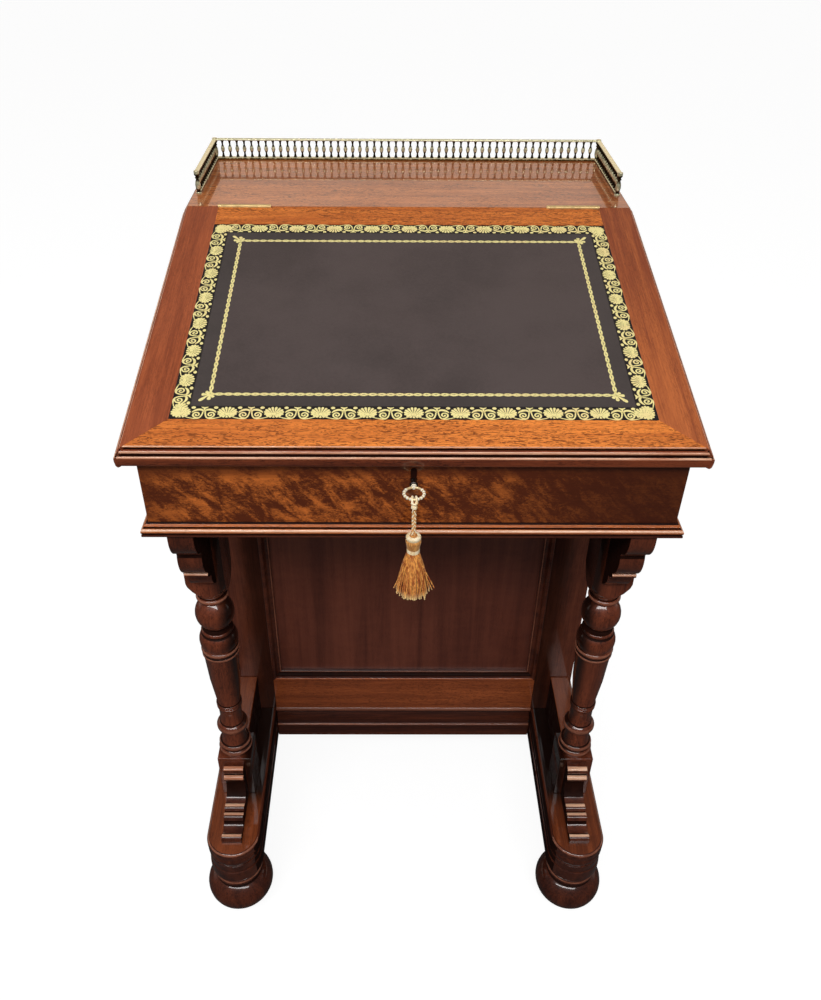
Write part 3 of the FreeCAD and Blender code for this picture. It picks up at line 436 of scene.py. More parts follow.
def dressed(node, wood, slot="mahogany", ease=True):
    """A worked copy of a plain board: its flat faces made whole, its edges eased, and polished."""
    piece = bpy.data.objects.new(f"{node}_worked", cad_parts[node].data.copy())
    bpy.context.scene.collection.objects.link(piece)
    edit(piece)
    bpy.ops.mesh.remove_doubles(threshold=2e-6)
    bpy.ops.mesh.dissolve_limited(angle_limit=radians(1))
    bpy.ops.mesh.customdata_custom_splitnormals_clear()
    done()
    if ease:
        eased(piece)
    return finished(piece, wood, node, slot=slot)


def painted(material, *nodes):
    """Gives frame pieces that keep their own shape a finish."""
    for node in nodes:
        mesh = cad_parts[node].data
        mesh.materials.clear()
        mesh.materials.append(material)


# ---------------- finishes


class Wire:
    """What runs from one shader node to the next; sums and products of wires are Math nodes."""

    def __init__(self, socket):
        self.socket = socket
        self.tree = socket.id_data

    def math(self, operation, other=0.0, clamp=False):
        return put(self.tree, "Math", {0: self, 1: other}, operation=operation, use_clamp=clamp)

    def __add__(self, other):
        return self.math("ADD", other)

    def __sub__(self, other):
        return self.math("SUBTRACT", other)

    def __rsub__(self, other):
        return put(self.tree, "Math", {0: other, 1: self}, operation="SUBTRACT")

    def __mul__(self, other):
        return self.math("MULTIPLY", other)

    def __abs__(self):
        return self.math("ABSOLUTE")

    def spread(self, low, high, to_low=0.0, to_high=1.0):
        """Stretches a range of a pattern, smoothly, onto another range."""
        return put(self.tree, "MapRange", {
            "Value": self, "From Min": low, "From Max": high, "To Min": to_low, "To Max": to_high,
        }, interpolation_type="SMOOTHSTEP")

    def noise(self, scale, detail=3.0, rough=0.55, distortion=0.0):
        """Noise over coordinates, at one scale or at one for each axis (the third is as the second)."""
        place = self
        if isinstance(scale, tuple):
            place = put(self.tree, "Mapping", {"Vector": self, "Scale": (*scale, scale[-1])[:3]})
            scale = 1.0
        return put(self.tree, "TexNoise", {
            "Vector": place, "Scale": scale, "Detail": detail, "Roughness": rough, "Distortion": distortion})

    def blend(self, a, b):
        """From colour a to colour b as the wire goes from nothing to one."""
        return mixed(self.tree, self, a, b)

    def level(self, a, b):
        """From number a to number b as the wire goes from nothing to one."""
        return put(self.tree, "Mix", {0: self, 2: a, 3: b})

    def relief(self, strength, distance=0.0002, **settings):
        """Bumps as high as the pattern."""
        return put(
            self.tree, "Bump", {"Height": self, "Strength": strength, "Distance": distance}, **settings)

    def parts(self):
        """The coordinates along X, Y and Z, by letter."""
        outputs = put(self.tree, "SeparateXYZ", {0: self}).socket.node.outputs
        return {letter: Wire(outputs[letter]) for letter in "XYZ"}


def feed(socket, value):
    """Gives a socket a plain value, or joins a wire to it."""
    if isinstance(value, Wire):
        value.tree.links.new(value.socket, socket)
    else:
        socket.default_value = value


def put(tree, kind, inputs=(), out=0, **settings):
    """Adds a shader node, and gives the wire from one of its outputs."""
    node = tree.nodes.new("ShaderNode" + kind)
    for key, value in settings.items():
        setattr(node, key, value)
    for key, value in dict(inputs).items():
        feed(node.inputs[key], value)
    return Wire(node.outputs[out])


def mixed(tree, factor, a, b, how="MIX"):
    a, b = (value if isinstance(value, Wire) else (*value[:3], 1) for value in (a, b))
    return put(
        tree, "Mix", {0: factor, 6: a, 7: b}, 2, data_type="RGBA", blend_type=how, clamp_factor=True)


GRAIN_TURNS = {
    "X": (0, 0, 0),
    "Y": (0, 0, -pi / 2),
    "Z": (0, pi / 2, 0),
    "SLOPE": (-SLOPE, 0, -pi / 2),
    "TILT": (-SLOPE, 0, 0),
}
POLISH = {"Coat Weight": 1.0, "Coat IOR": 1.45, "Specular IOR Level": 0.2}


class Paint:
    """A new material with only a surface shader in it, and the coordinates for its patterns."""

    def __init__(self, name):
        self.material = bpy.data.materials.new(name)
        self.material.use_nodes = True
        self.tree = self.material.node_tree
        self.tree.nodes.clear()
        self.surface = self.tree.nodes.new("ShaderNodeBsdfPrincipled")
        self.output = self.tree.nodes.new("ShaderNodeOutputMaterial")
        self.tree.links.new(self.surface.outputs["BSDF"], self.output.inputs["Surface"])
        self.place = put(self.tree, "TexCoord", out="Object")

    def grain(self, along, offset=(0, 0, 0)):
        """The coordinates turned so that the grain runs along X."""
        return put(
            self.tree, "Mapping", {"Vector": self.place, "Rotation": GRAIN_TURNS[along], "Location": offset})

    def made(self, colour, rough, normal=None, more=()):
        """The material, once its surface has these and more by the sockets' names."""
        inputs = {"Base Color": colour, "Roughness": rough, **dict(more)}
        if normal:
            inputs["Normal"] = normal
        for key, value in inputs.items():
            feed(self.surface.inputs[key], value)
        return self.material


def dimmed(colour, share):
    return [value * share for value in colour]


def mahogany(
        name, along, light, dark, offset=(0, 0, 0), figure=0.0, pores=0.5, sheen=0.04, rough=0.34,
        swell=0.06, shade=None, streak=0.7):
    """French-polished mahogany: ribbon grain, short dark pores, and a clear glossy coat. The shade darkens its
    colour where every axis given passes from its light to its dark place: painted shade on some pieces, a dark
    edging on the linings."""
    paint = Paint(name)
    base = paint.grain(along, offset)
    tone = base.noise((1.6, 6.0), 2.0) * 0.7 + base.noise((2.2, 70.0, 50.0), 5.0, 0.62, 0.8) * 0.9
    tone = tone + base.noise((22.0, 620.0), 3.0, 0.6, 0.4) * streak
    tone = tone.spread(0.47 + streak / 2, 1.13 + streak / 2)
    if figure:
        mottle = base.noise((42.0, 16.0), 3.0, 0.55, 1.4)
        tone = tone.math("ADD", (mottle - 0.5) * figure, clamp=True)
    depth = base.noise((120.0, 680.0, 600.0), 2.0, 0.55, 1.6).spread(0.50, 0.60)
    depth = depth * base.noise((9.0, 45.0), 2.0).spread(0.30, 0.62, 0.35, 1.0)
    colour = (depth * pores).blend(tone.blend(dark, light), dimmed(dark, 0.42))
    if shade:
        level, *passes = shade
        place = paint.place.parts()
        blotch = base.noise((9.0, 22.0), 4.0, 0.6) - 0.5
        depths = None
        for axis, bright, dim in passes:
            across = abs(place[axis]) if axis == "X" else place[axis]
            across = (across + blotch * ((dim - bright) * 0.4)).spread(bright, dim)
            depths = depths * across if depths else across
        colour = depths.blend(colour, mixed(paint.tree, 1.0, colour, level, "MULTIPLY"))
    haze = base.noise((9.0, 9.0), 3.0).spread(0.3, 0.7, rough - 0.05, rough + 0.08)
    waviness = base.noise((9.0, 26.0), 2.0).relief(swell, 0.0006)
    return paint.made(colour, haze, depth.relief(0.12, invert=True), {
        **POLISH, "Coat Roughness": sheen, "Coat Normal": waviness})


def shaded_edge_wood():
    """Painted shade: darker, redder wood on the lower bead, fillet and nosing round the top, which face down out of
    the light.
    """
    return mahogany(
        "shaded_edge_mahogany", "X", (0.30, 0.066, 0.022), (0.10, 0.019, 0.008), (2, 0, 1), pores=0.8, sheen=0.09)


def pale_highlight_wood():
    """Painted highlight: pale wood on arrises, bead tops and reed crests where the light catches them."""
    return mahogany(
        "pale_highlight_mahogany", "X", (0.96, 0.60, 0.40), (0.50, 0.18, 0.09), (2, 3, 1), pores=0.3, sheen=0.12)


def brown_highlight_wood():
    """Painted highlight: brown wood, lighter than the dark stain, on the crests of beads and rims."""
    return mahogany(
        "brown_highlight_mahogany", "X", (0.36, 0.135, 0.078), (0.15, 0.045, 0.024), (2, 4, 1), pores=0.3, sheen=0.06)


def dark_polish_and_shade():
    """Nearly black: old polish with painted shade in the hollows of mouldings, and painted shade alone on the inner
    sides and the keyhole plate.
    """
    paint = Paint("dark_polish_and_shade")
    patch = paint.place.noise(90.0)
    return paint.made(
        patch.blend((0.006, 0.002, 0.002), (0.03, 0.008, 0.004)), patch.spread(0.3, 0.7, 0.45, 0.65),
        patch.relief(0.1), {"Specular IOR Level": 0.06})


KEPT = {
    "shaded_edge_mahogany": shaded_edge_wood,
    "dark_polish_and_shade": dark_polish_and_shade,
    "pale_highlight_mahogany": pale_highlight_wood,
    "brown_highlight_mahogany": brown_highlight_wood,
}


def kept(name):
    """A finish that many pieces share, made when it is first asked for."""
    return bpy.data.materials.get(name) or KEPT[name]()


def body_wood(along, offset=(0, 0, 0), **changes):
    look = finish()
    return mahogany(
        f"dark_mahogany_{along.lower()}", along, look.body_light, look.body_dark, offset, **changes)


def lid_wood(along, offset=(0, 0, 0), **changes):
    look = finish()
    return mahogany(
        f"bright_mahogany_{along.lower()}", along, look.lid_light, look.lid_dark, offset, **changes)


def figured_veneer():
    """Mottled veneer of the box front: bright patches lying aslant over dark wood, darker towards its right end,
    with a painted shadow of the lid along its top.
    """
    paint = Paint("figured_veneer")
    base = paint.grain("X")
    aslant = put(paint.tree, "Mapping", {"Vector": base, "Rotation": (0, radians(-48), 0)})
    tone = aslant.noise((36.0, 1.0, 100.0), 4.0, 0.62, 0.7) + base.noise((7.0, 1.0, 16.0), 2.0) * 0.75
    tone = (tone + base.noise((190.0, 1.0, 420.0), 4.0, 0.75, 1.6) * 0.85).spread(1.15, 1.52)
    place = base.parts()
    across = place["X"]
    # Painted shadow of the lid: the figure darkens along the top of the front.
    tone = tone * place["Z"].spread(0.716, 0.725, 1.0, 0.3)
    tone = tone * across.spread(-0.02, 0.22, 1.0, 0.22) * across.spread(-0.27, -0.20, 0.45, 1.0)
    dark = (0.105, 0.020, 0.005)
    colour = tone.blend(dark, (0.63, 0.162, 0.028))
    colour = across.spread(0.02, 0.25, 0.0, 0.55).blend(colour, (0.030, 0.006, 0.003))
    depth = base.noise((40.0, 1.0, 900.0), 2.0, 0.5, 0.6).spread(0.50, 0.62)
    colour = (depth * 0.22).blend(colour, dimmed(dark, 0.4))
    return paint.made(colour, 0.34, depth.relief(0.08, invert=True), {**POLISH, "Coat Roughness": 0.04})


def lining_wood(name, along):
    """Plain waxed wood inside the desk, with open straight grain and handling marks."""
    pale = finish().lining
    paint = Paint(name)
    base = paint.grain(along)
    fibre = base.noise((20.0, 600.0))
    tone = (base.noise((2.0, 60.0), 4.0, 0.6, 0.4) + fibre * 0.6).spread(0.55, 1.05)
    colour = tone.blend(dimmed(pale, 0.5), [min(1, value) for value in dimmed(pale, 1.2)])
    colour = base.noise(11.0, 4.0).spread(0.48, 0.70, 0.0, 0.5).blend(colour, dimmed(pale, 0.4))
    return paint.made(colour, fibre.spread(0.3, 0.7, 0.48, 0.66), fibre.relief(0.2, 0.0003))


def edged_lining(name, along, edging):
    """Pale lining wood that turns to dark mahogany at the edge that shows."""
    pale = finish().lining
    return mahogany(
        name, along, dimmed(pale, 1.1), dimmed(pale, 0.5), rough=0.5, sheen=0.35,
        shade=((0.32, 0.15, 0.15), edging))


def hide():
    """Dark skiver leather: fine pebbled grain and a dull wax shine, blackened under the tooled border."""
    look = finish()
    paint = Paint("dark_hide")
    base = paint.place
    flat = paint.grain("TILT").parts()
    hinge = (HINGE_Y * cos(SLOPE) + HINGE_Z * sin(SLOPE)) * MM
    front, rear = (hinge - (HINGE_Y - edge) * MM for edge in (LEATHER_FRONT, LEATHER_BACK))
    side_rim = LEATHER_HALF_WIDTH * MM - abs(flat["X"])
    rim = side_rim.math("MINIMUM", (flat["Y"] - front).math("MINIMUM", rear - flat["Y"]))
    speck = base.noise(320.0, 3.0, 0.6)
    tone = (base.noise(7.0, 4.0, 0.6) + speck * 0.35).spread(0.5, 0.85)
    colour = tone.blend(dimmed(look.leather, 0.84), dimmed(look.leather, 1.16))
    colour = rim.spread(0.0335, 0.0345, 0.34, 0.0).blend(colour, (0.030, 0.031, 0.028))
    colour = rim.spread(0.0175, 0.0190, 0.92, 0.0).blend(colour, (0.006, 0.005, 0.006))
    pebble = put(
        paint.tree, "TexVoronoi", {"Vector": base, "Scale": 900.0, "Randomness": 1.0}, "Distance",
        feature="DISTANCE_TO_EDGE")
    height = pebble.spread(0.0, 0.16) + speck * 0.6
    return paint.made(
        colour, base.noise(15.0, 5.0).spread(0.3, 0.7, 0.42, 0.54), height.relief(0.2, 0.00025),
        {"Specular IOR Level": 0.4})


def metal(name, colour, rough=0.2, tarnish=0.35, scale=120.0, pure=1.0):
    """Polished metal, duller and darker in patches."""
    paint = Paint(name)
    patch = paint.place.noise(scale, 4.0, 0.65)
    return paint.made(
        patch.spread(0.42, 0.75, 0.0, tarnish).blend(colour, dimmed(colour, 0.38)),
        patch.spread(0.3, 0.8, rough, rough + 0.22), paint.place.noise(scale * 6, 2.0).relief(0.05),
        {"Metallic": pure})


def gold_leaf():
    """Gold leaf pressed into leather: bright, thin and greenish where it shows wear."""
    paint = Paint("gold_leaf")
    wear = paint.place.noise(330.0, 4.0, 0.7)
    colour = wear.spread(0.50, 0.74, 0.0, 0.75).blend(finish().gilt, (0.42, 0.38, 0.10))
    colour = paint.place.noise(36.0, 2.0).spread(0.45, 0.7, 0.0, 0.5).blend(colour, (0.88, 0.66, 0.30))
    return paint.made(colour, wear.spread(0.3, 0.7, 0.32, 0.55), wear.relief(0.25), {"Metallic": 0.12})


def lacquered(paint, bright, dark, pure, patch, rough):
    """Brass that is bright in one pattern, dark elsewhere, and uneven in its shine."""
    return paint.made(
        bright.blend(dark, finish().brass), patch.spread(0.3, 0.8, *rough), patch.relief(0.04),
        {"Metallic": bright.spread(0.0, 1.0, 1.0, pure)})


def brass_dark_below(name, low, high):
    """Lacquered brass, bright above one height and dark brown below it."""
    paint = Paint(name)
    patch = paint.place.noise(210.0, 3.0, 0.6)
    wavy_height = paint.place.parts()["Z"] + (patch - 0.5) * 0.004
    return lacquered(paint, wavy_height.spread(low, high), (0.115, 0.066, 0.022), 0.6, patch, (0.18, 0.34))


def shaded_brass_with_highlights(name, highlit):
    """Dark brass as painted shade, bright with painted highlights round some heights; each is a middle and a reach.
    """
    paint = Paint(name)
    height = paint.place.parts()["Z"]
    patch = paint.place.noise(160.0)
    bright = None
    for middle, reach in highlit:
        near = abs(height - middle * MM).spread(reach * 0.4 * MM, reach * MM, 1.0, 0.0)
        bright = bright.math("MAXIMUM", near) if bright else near
    bright = bright * patch.spread(0.3, 0.7, 0.7, 1.0)
    return lacquered(paint, bright, (0.040, 0.026, 0.012), 0.55, patch, (0.2, 0.36))


def silk_thread(name, light, dark, tip=None, rough=0.42):
    """Silk floss: fine bright threads along the piece, and paler cut ends where it has them."""
    paint = Paint(name)
    strand = paint.place.noise((1500.0, 1500.0, 60.0), 2.0)
    colour = (strand + paint.place.noise((420.0, 420.0, 6.0), 2.0)).spread(0.80, 1.20).blend(dark, light)
    if tip:
        ends = paint.place.parts()["Z"].spread(tip * MM, (tip + 9.0) * MM, 0.8, 0.0)
        colour = ends.blend(colour, (1.0, 0.76, 0.36))
    return paint.made(
        colour, strand.spread(0.3, 0.7, rough - 0.08, rough + 0.12), strand.relief(0.3, 0.0003),
        {"Sheen Weight": 0.25, "Sheen Roughness": 0.35})


def stained(piece, material, where):
    """Gives the faces whose centres lie in a region, in millimetres, a second finish."""
    piece.data.materials.append(material)
    index = len(piece.data.materials) - 1
    for face in piece.data.polygons:
        if where(*(face.center / MM)):
            face.material_index = index
    return piece


def shade_and_polish(piece, where):
    """Paints shade into the hollows of a piece, where old polish gathers too."""
    return stained(piece, kept("dark_polish_and_shade"), where)


def highlighted(piece, where, pale=False):
    """Paints highlights on a piece's crests, in brown or in pale wood."""
    return stained(piece, kept("pale_highlight_mahogany" if pale else "brown_highlight_mahogany"), where)


def bands(*heights, base=0.0):
    """The region between each low and high, measured up from a base."""
    return lambda x, y, z: any(base + low < z < base + high for low, high in heights)


def shaded_inner_sides(piece):
    """Paints shade, in the nearly black polish of the hollows, on the faces turned to the desk's middle."""
    shade_and_polish(piece, lambda x, y, z: False)
    for face in piece.data.polygons:
        if face.normal.x * (1 if face.center.x > 0 else -1) < -0.8:
            face.material_index = len(piece.data.materials) - 1
    return piece


# ---------------- the slope and the flat top


def edge_profile(edge, outward):
    """The moulded edge of the top: arris, bead stepping out between quirks, then the nosing."""
    return outline(
        (-1.5, 0), ((-0.8, 0.25), (-0.4, 1.0)), (-0.4, 1.8), (-1.6, 2.4), (-1.6, 3.6), (-0.2, 3.7),
        ((3.1, 5.4), (1.6, 7.8)), (1.0, 8.2), (1.0, 8.6), (4.3, 8.6), ((5.4, 9.3), (5.8, 10.8)),
        ((6.0, 14.0), (5.7, 17.8)), ((4.7, 20.7), (2.2, BOARD)),
        step=radians(12), at=(edge, HINGE_Z), scale=(outward, -1))


def framed_edge(inner, edge, side):
    """Section of a lid board: its moulded edge, and an eased arris along the leather."""
    return [(inner, HINGE_Z - RIM), (inner + side * RIM, HINGE_Z), *edge_profile(edge, side), (inner, BOARD_LOW)]


def stained_edge(piece, sloping):
    """Gives the bead and nosing round a top their darker, redder painted shade, the quirks old dark polish with
    painted shade, and the arris and bead tops painted highlights.
    """
    for name in ("shaded_edge_mahogany", "dark_polish_and_shade", "pale_highlight_mahogany"):
        piece.data.materials.append(kept(name))
    nosing, hollow, highlit = 1, 2, 3
    for face in piece.data.polygons:
        x, y, z = face.center / MM
        depth, rim = HINGE_Z - z, TOP_BACK - y
        if sloping:
            depth = (HINGE_Z - z) * cos(SLOPE) - (HINGE_Y - y) * sin(SLOPE)
            rim = SLOPE_LENGTH - (HINGE_Y - y) * cos(SLOPE) - (HINGE_Z - z) * sin(SLOPE)
        proud = -min(TOP_HALF_WIDTH - abs(x), rim)
        if proud > -2.6 and depth > 1.9:
            if (depth < 3.72 and proud < 0.3) or (7.75 < depth < 8.75 and proud < 4.1):
                face.material_index = hollow
            else:
                face.material_index = highlit if 3.7 < depth < 5.6 or 8.6 < depth < 10.1 else nosing
        elif -1.55 < proud < 1.0 and 0.05 < depth < 1.2 and sloping:
            face.material_index = highlit


def on_slope(piece):
    """Tilts what was made level at the hinge line down onto the slope."""
    return rotated(piece, SLOPE, "X", (0, HINGE_Y, HINGE_Z))


def hinge_hollows():
    """Cutters for the seats of the hinges' leaves and barrels."""
    cutters = []
    near, far = HINGE_ENDS
    for low, high in ((-far, -near), (near, far)):
        cutters.append(block("seat", (low, HINGE_Y - 1.4, HINGE_Z - 16), (high, HINGE_Y + 1.4, HINGE_Z + 5)))
        cutters.append(primitive(
            "cylinder", "barrel_seat", vertices=32, radius=2.6 * MM, depth=(high - low) * MM,
            rotation=(0, pi / 2, 0), location=((low + high) / 2 * MM, HINGE_Y * MM, HINGE_Z * MM)))
    return cutters


class DAVENPORT_OT_slope(bpy.types.Operator):
    """Mitred frame of the sloping lid, with its moulded edge"""

    bl_idname = "davenport.slope"
    bl_label = "Slope Frame"

    def execute(self, context):
        inner, span = LEATHER_HALF_WIDTH, TOP_HALF_WIDTH + 4
        start, far = SLOPE_FRONT - 6, HINGE_Y - HINGE_GAP
        wide, deep = TOP_HALF_WIDTH - inner, LEATHER_FRONT - SLOPE_FRONT
        front = run("slope_front", "X", -span, 2 * span, framed_edge(LEATHER_FRONT, SLOPE_FRONT, -1))
        stiles = []
        for side in SIDES:
            corner = (side * inner, LEATHER_FRONT, 0)
            trim(front, corner, (side * deep, wide, 0))
            section = framed_edge(side * inner, side * TOP_HALF_WIDTH, side)
            stile = run("slope_stile", "Y", start, far - start, section)
            stiles.append(trim(stile, corner, (-side * deep, -wide, 0)))
        rear = block("slope_rear", (-inner, LEATHER_BACK, BOARD_LOW), (inner, far, HINGE_Z))
        rail_wood = lid_wood("X", pores=1.7)
        left_wood, right_wood = (
            mahogany(f"stile_mahogany_{index}", "SLOPE", light, (0.23, 0.05, 0.018), offset, pores=0.35)
            for index, (light, offset) in enumerate((
                ((0.43, 0.105, 0.034), (0.4, 0.2, 0)), ((0.50, 0.135, 0.036), (0.9, 0.5, 0))))
        )
        for piece, node, wood in (
                (front, "lid_front_rail", rail_wood), (rear, "lid_rear_rail", rail_wood),
                (stiles[0], "lid_stile_left", left_wood), (stiles[1], "lid_stile_right", right_wood)):
            on_slope(piece)
            if piece is rear:
                cut(piece, *hinge_hollows())
            eased(piece, 0.35 * MM, 2, 50)
            piece.name = f"{node}_moulded"
            finished(piece, wood, node, body="lid", slot="lid_mahogany")
            stained_edge(piece, sloping=True)
        painted(lining_wood("lining_x", "X"), "lid_panel")
        return {"FINISHED"}


class DAVENPORT_OT_flat_top(bpy.types.Operator):
    """Fixed flat top behind the slope, moulded on three sides"""

    bl_idname = "davenport.flat_top"
    bl_label = "Flat Top"

    def execute(self, context):
        front, span = HINGE_Y + HINGE_GAP, TOP_HALF_WIDTH + 8
        right = edge_profile(TOP_HALF_WIDTH, 1)
        left = [(-x, z) for x, z in reversed(right)]
        top = run("flat_top", "Y", front, TOP_BACK + 8 - front, right + left)
        lengthways = run("lengthways", "X", -span, 2 * span, [
            (front - 5, HINGE_Z), *edge_profile(TOP_BACK, 1), (front - 5, BOARD_LOW)])
        cut(top, lengthways, keep=True)
        cut(top, *hinge_hollows())
        eased(top, 0.35 * MM, 2, 50)
        top.name = "flat_top_moulded"
        finished(top, mahogany(
            "flat_top_mahogany", "X", (0.60, 0.19, 0.05), (0.25, 0.058, 0.016), (3, 2, 1), sheen=0.015,
            pores=1.2, swell=0.02), "top_board", slot="lid_mahogany")
        stained_edge(top, sloping=False)
        return {"FINISHED"}


# ---------------- leather and gilding


class DAVENPORT_OT_leather(bpy.types.Operator):
    """Leather skiver glued into the slope"""

    bl_idname = "davenport.leather"
    bl_label = "Leather"

    def execute(self, context):
        half, length, middle = LEATHER_HALF_WIDTH, LEATHER_BACK - LEATHER_FRONT, (LEATHER_FRONT + LEATHER_BACK) / 2
        piece = primitive("grid", "leather_skiver", x_subdivisions=96, y_subdivisions=72, size=1)
        for vertex in piece.data.vertices:
            x, y = vertex.co.x * 2 * half, middle + vertex.co.y * length
            rim = min(half - abs(x), y - LEATHER_FRONT, LEATHER_BACK - y)
            ripple = 0.05 * (sin(x / 23) * cos(y / 31) + sin((x + y) / 47))
            vertex.co = Vector((x, y, LEATHER_TOP + (-0.30 if rim < 0.1 else ripple - 0.05))) * MM
        modify(piece, "SOLIDIFY", thickness=LEATHER * 0.75 * MM, offset=-1)
        pick(piece)
        bpy.ops.object.shade_smooth_by_angle(angle=radians(40))
        finished(on_slope(piece), hide(), "writing_leather", body="lid", slot="leather")
        return {"FINISHED"}


def stroke(points, widths):
    """Outline of a line of changing width drawn smoothly through points."""
    track, breadth = [], []
    ends = [points[0], *points, points[-1]]
    for index in range(len(points) - 1):
        a, b, c, d = (Vector(point) for point in ends[index:index + 4])
        for t in (0.0, 0.34, 0.67):
            track.append(0.5 * (2 * b + (c - a) * t + (2 * a - 5 * b + 4 * c - d) * t * t
                                + (3 * b - a - 3 * c + d) * t ** 3))
            breadth.append(widths[index] * (1 - t) + widths[index + 1] * t)
    track.append(Vector(points[-1]))
    breadth.append(widths[-1])
    left, right = [], []
    for index, place in enumerate(track):
        along = track[min(index + 1, len(track) - 1)] - track[max(index - 1, 0)]
        off = Vector((-along.y, along.x)).normalized() * breadth[index] / 2
        left.append(tuple(place + off))
        right.append(tuple(place - off))
    return left + right[::-1]


def oval(centre, wide, tall, steps=14):
    return [
        (centre[0] + wide * cos(2 * pi * step / steps), centre[1] + tall * sin(2 * pi * step / steps))
        for step in range(steps)
    ]


def petal(root, tip, width):
    """Outline of a round-ended petal."""
    root, tip = Vector(root), Vector(tip)
    along = tip - root
    across = Vector((-along.y, along.x)).normalized() * width / 2
    half = ((0.0, 0.35), (0.4, 0.62), (0.74, 1.0), (0.88, 0.94), (0.96, 0.62))
    left, right = (
        [tuple(root + along * reach + across * share * side) for reach, share in half] for side in (1, -1))
    return left + [tuple(tip)] + right[::-1]


def mirrored(points):
    return [(-x, y) for x, y in points]


def shifted(shapes, x):
    return [[(u + x, v) for u, v in shape] for shape in shapes]


def gilded(name, shapes, height=0.0):
    """Flat gold shapes standing a hair above the leather, made as one piece."""
    low, leaf = LEATHER_TOP - 0.08 + height, 0.12
    return joined(name, [run(name, "Z", low, leaf, shape) for shape in shapes])


def rosette_shapes():
    centre, heart, wide, tall, count = 9.6, 7.2, 9.6, 7.5, 15
    petals = []
    for step in range(count):
        turn = 2 * pi * step / count - pi / 2
        tip = (wide * cos(turn), centre + tall * sin(turn))
        petals.append(petal((2.6 * cos(turn), heart + 2.1 * sin(turn)), tip, 2.45))
    return [*petals, oval((0, heart), 2.5, 1.9)]


STEM = (
    ((-17.8, 3.7), (-13.6, 2.0), (-9.0, 0.9), (-5.2, 1.0), (-2.8, 3.0), (-1.6, 6.2), (-1.1, 9.4), (-0.5, 12.4)),
    (0.7, 1.0, 1.3, 1.5, 1.5, 1.4, 1.3, 1.0))
LEAF = (
    ((-11.4, 9.2), (-9.4, 11.3), (-6.6, 12.8), (-3.7, 13.0), (-1.5, 11.9), (-0.7, 9.6)),
    (0.7, 2.0, 2.6, 2.5, 2.0, 1.2))
CURL = (
    ((-4.4, 1.8), (-7.6, 2.3), (-9.8, 4.6), (-9.6, 7.5), (-7.3, 9.0), (-5.0, 8.2), (-4.3, 6.0), (-5.6, 4.5),
     (-7.4, 5.3), (-7.0, 6.6)),
    (1.0, 1.5, 1.7, 1.7, 1.6, 1.5, 1.4, 1.3, 1.5, 1.7))
BUD = ((-3.5, 17.0), (0.0, 16.3), (3.5, 17.0), (2.6, 15.5), (0.9, 14.3), (0.6, 11.4), (-0.6, 11.4), (-0.9, 14.3),
       (-2.6, 15.5))


def scroll_shapes():
    """A mirrored pair of C-scrolls, each under a leaf, with a bud and two dots."""
    shapes = []
    for shape in (stroke(*STEM), stroke(*LEAF), stroke(*CURL), oval((-10.6, 15.7), 2.1, 1.7)):
        shapes += [shape, mirrored(shape)]
    return [*shapes, BUD]


def repeated(piece, count, pitch):
    return modify(
        piece, "ARRAY", count=count, use_relative_offset=False, use_constant_offset=True,
        constant_offset_displace=(pitch * MM, 0, 0))


def round_leather(inset, start):
    """Each side of a rectangle inset in the leather: its turn, its length past start, and its place."""
    half = LEATHER_HALF_WIDTH - inset
    front, back = LEATHER_FRONT + inset, LEATHER_BACK - inset
    wide, deep = 2 * (half - start), back - front - 2 * start
    return (
        (0, wide, (start - half, front)),
        (pi / 2, deep, (half, front + start)),
        (pi, wide, (half - start, back)),
        (-pi / 2, deep, (-half, back - start)),
    )


class DAVENPORT_OT_gilding(bpy.types.Operator):
    """Gilt border of rosettes and scrolls, and a twisted line with leaves at its corners"""

    bl_idname = "davenport.gilding"
    bl_label = "Gilt Tooling"

    def execute(self, context):
        piece = joined("gilt_tooling", [*self.border(), *self.twist(), *self.corner_leaves()])
        finished(on_slope(piece), gold_leaf(), body="lid", slot="leather")
        return {"FINISHED"}

    def border(self):
        strips = []
        for turn, length, place in round_leather(0.0, 10.4):
            count = round(length / (sizes().band_repeat / MM))
            pitch = length / count
            shapes = rosette_shapes() + shifted(scroll_shapes(), pitch / 2)
            strip = repeated(gilded("border_strip", shapes), count, pitch)
            last = gilded("corner_rosette", shifted(rosette_shapes(), length - 2.6), 0.01)
            strips.append(laid(joined("border_strip", [strip, last]), turn, "Z", (*place, 0)))
        return strips

    def twist(self):
        swing, width, wanted, steps = 1.25, 1.75, 8.75, 6
        lines = []
        for turn, length, place in round_leather(LINE_INSET, 0.0):
            count = round(length / wanted)
            pitch = length / count
            wave = [(pitch * step / steps, swing * cos(pi * step / steps)) for step in range(steps + 1)]
            strand = stroke(wave, [width] * len(wave))
            link = gilded("twist_link", [strand, [(x, -y) for x, y in strand]])
            lines.append(laid(repeated(link, count, pitch), turn, "Z", (*place, 0)))
        return lines

    def corner_leaves(self):
        blades = ((0, 14.0, 3.6), (40, 8.4, 3.8), (-40, 8.4, 3.8), (84, 6.0, 3.4), (-84, 6.0, 3.4))
        leaves = []
        for side_x in SIDES:
            for side_y, edge in ((-1, LEATHER_FRONT + LINE_INSET), (1, LEATHER_BACK - LINE_INSET)):
                shapes = []
                for lean, reach, width in blades:
                    turn = atan2(side_y, side_x) + radians(lean)
                    root, tip = ((away * cos(turn), away * sin(turn)) for away in (0.4, reach))
                    shapes.append(petal(root, tip, width))
                place = (side_x * (LEATHER_HALF_WIDTH - LINE_INSET), edge, 0)
                leaves.append(moved(gilded("corner_leaf", shapes, 0.01), place))
        return leaves


# ---------------- the writing box


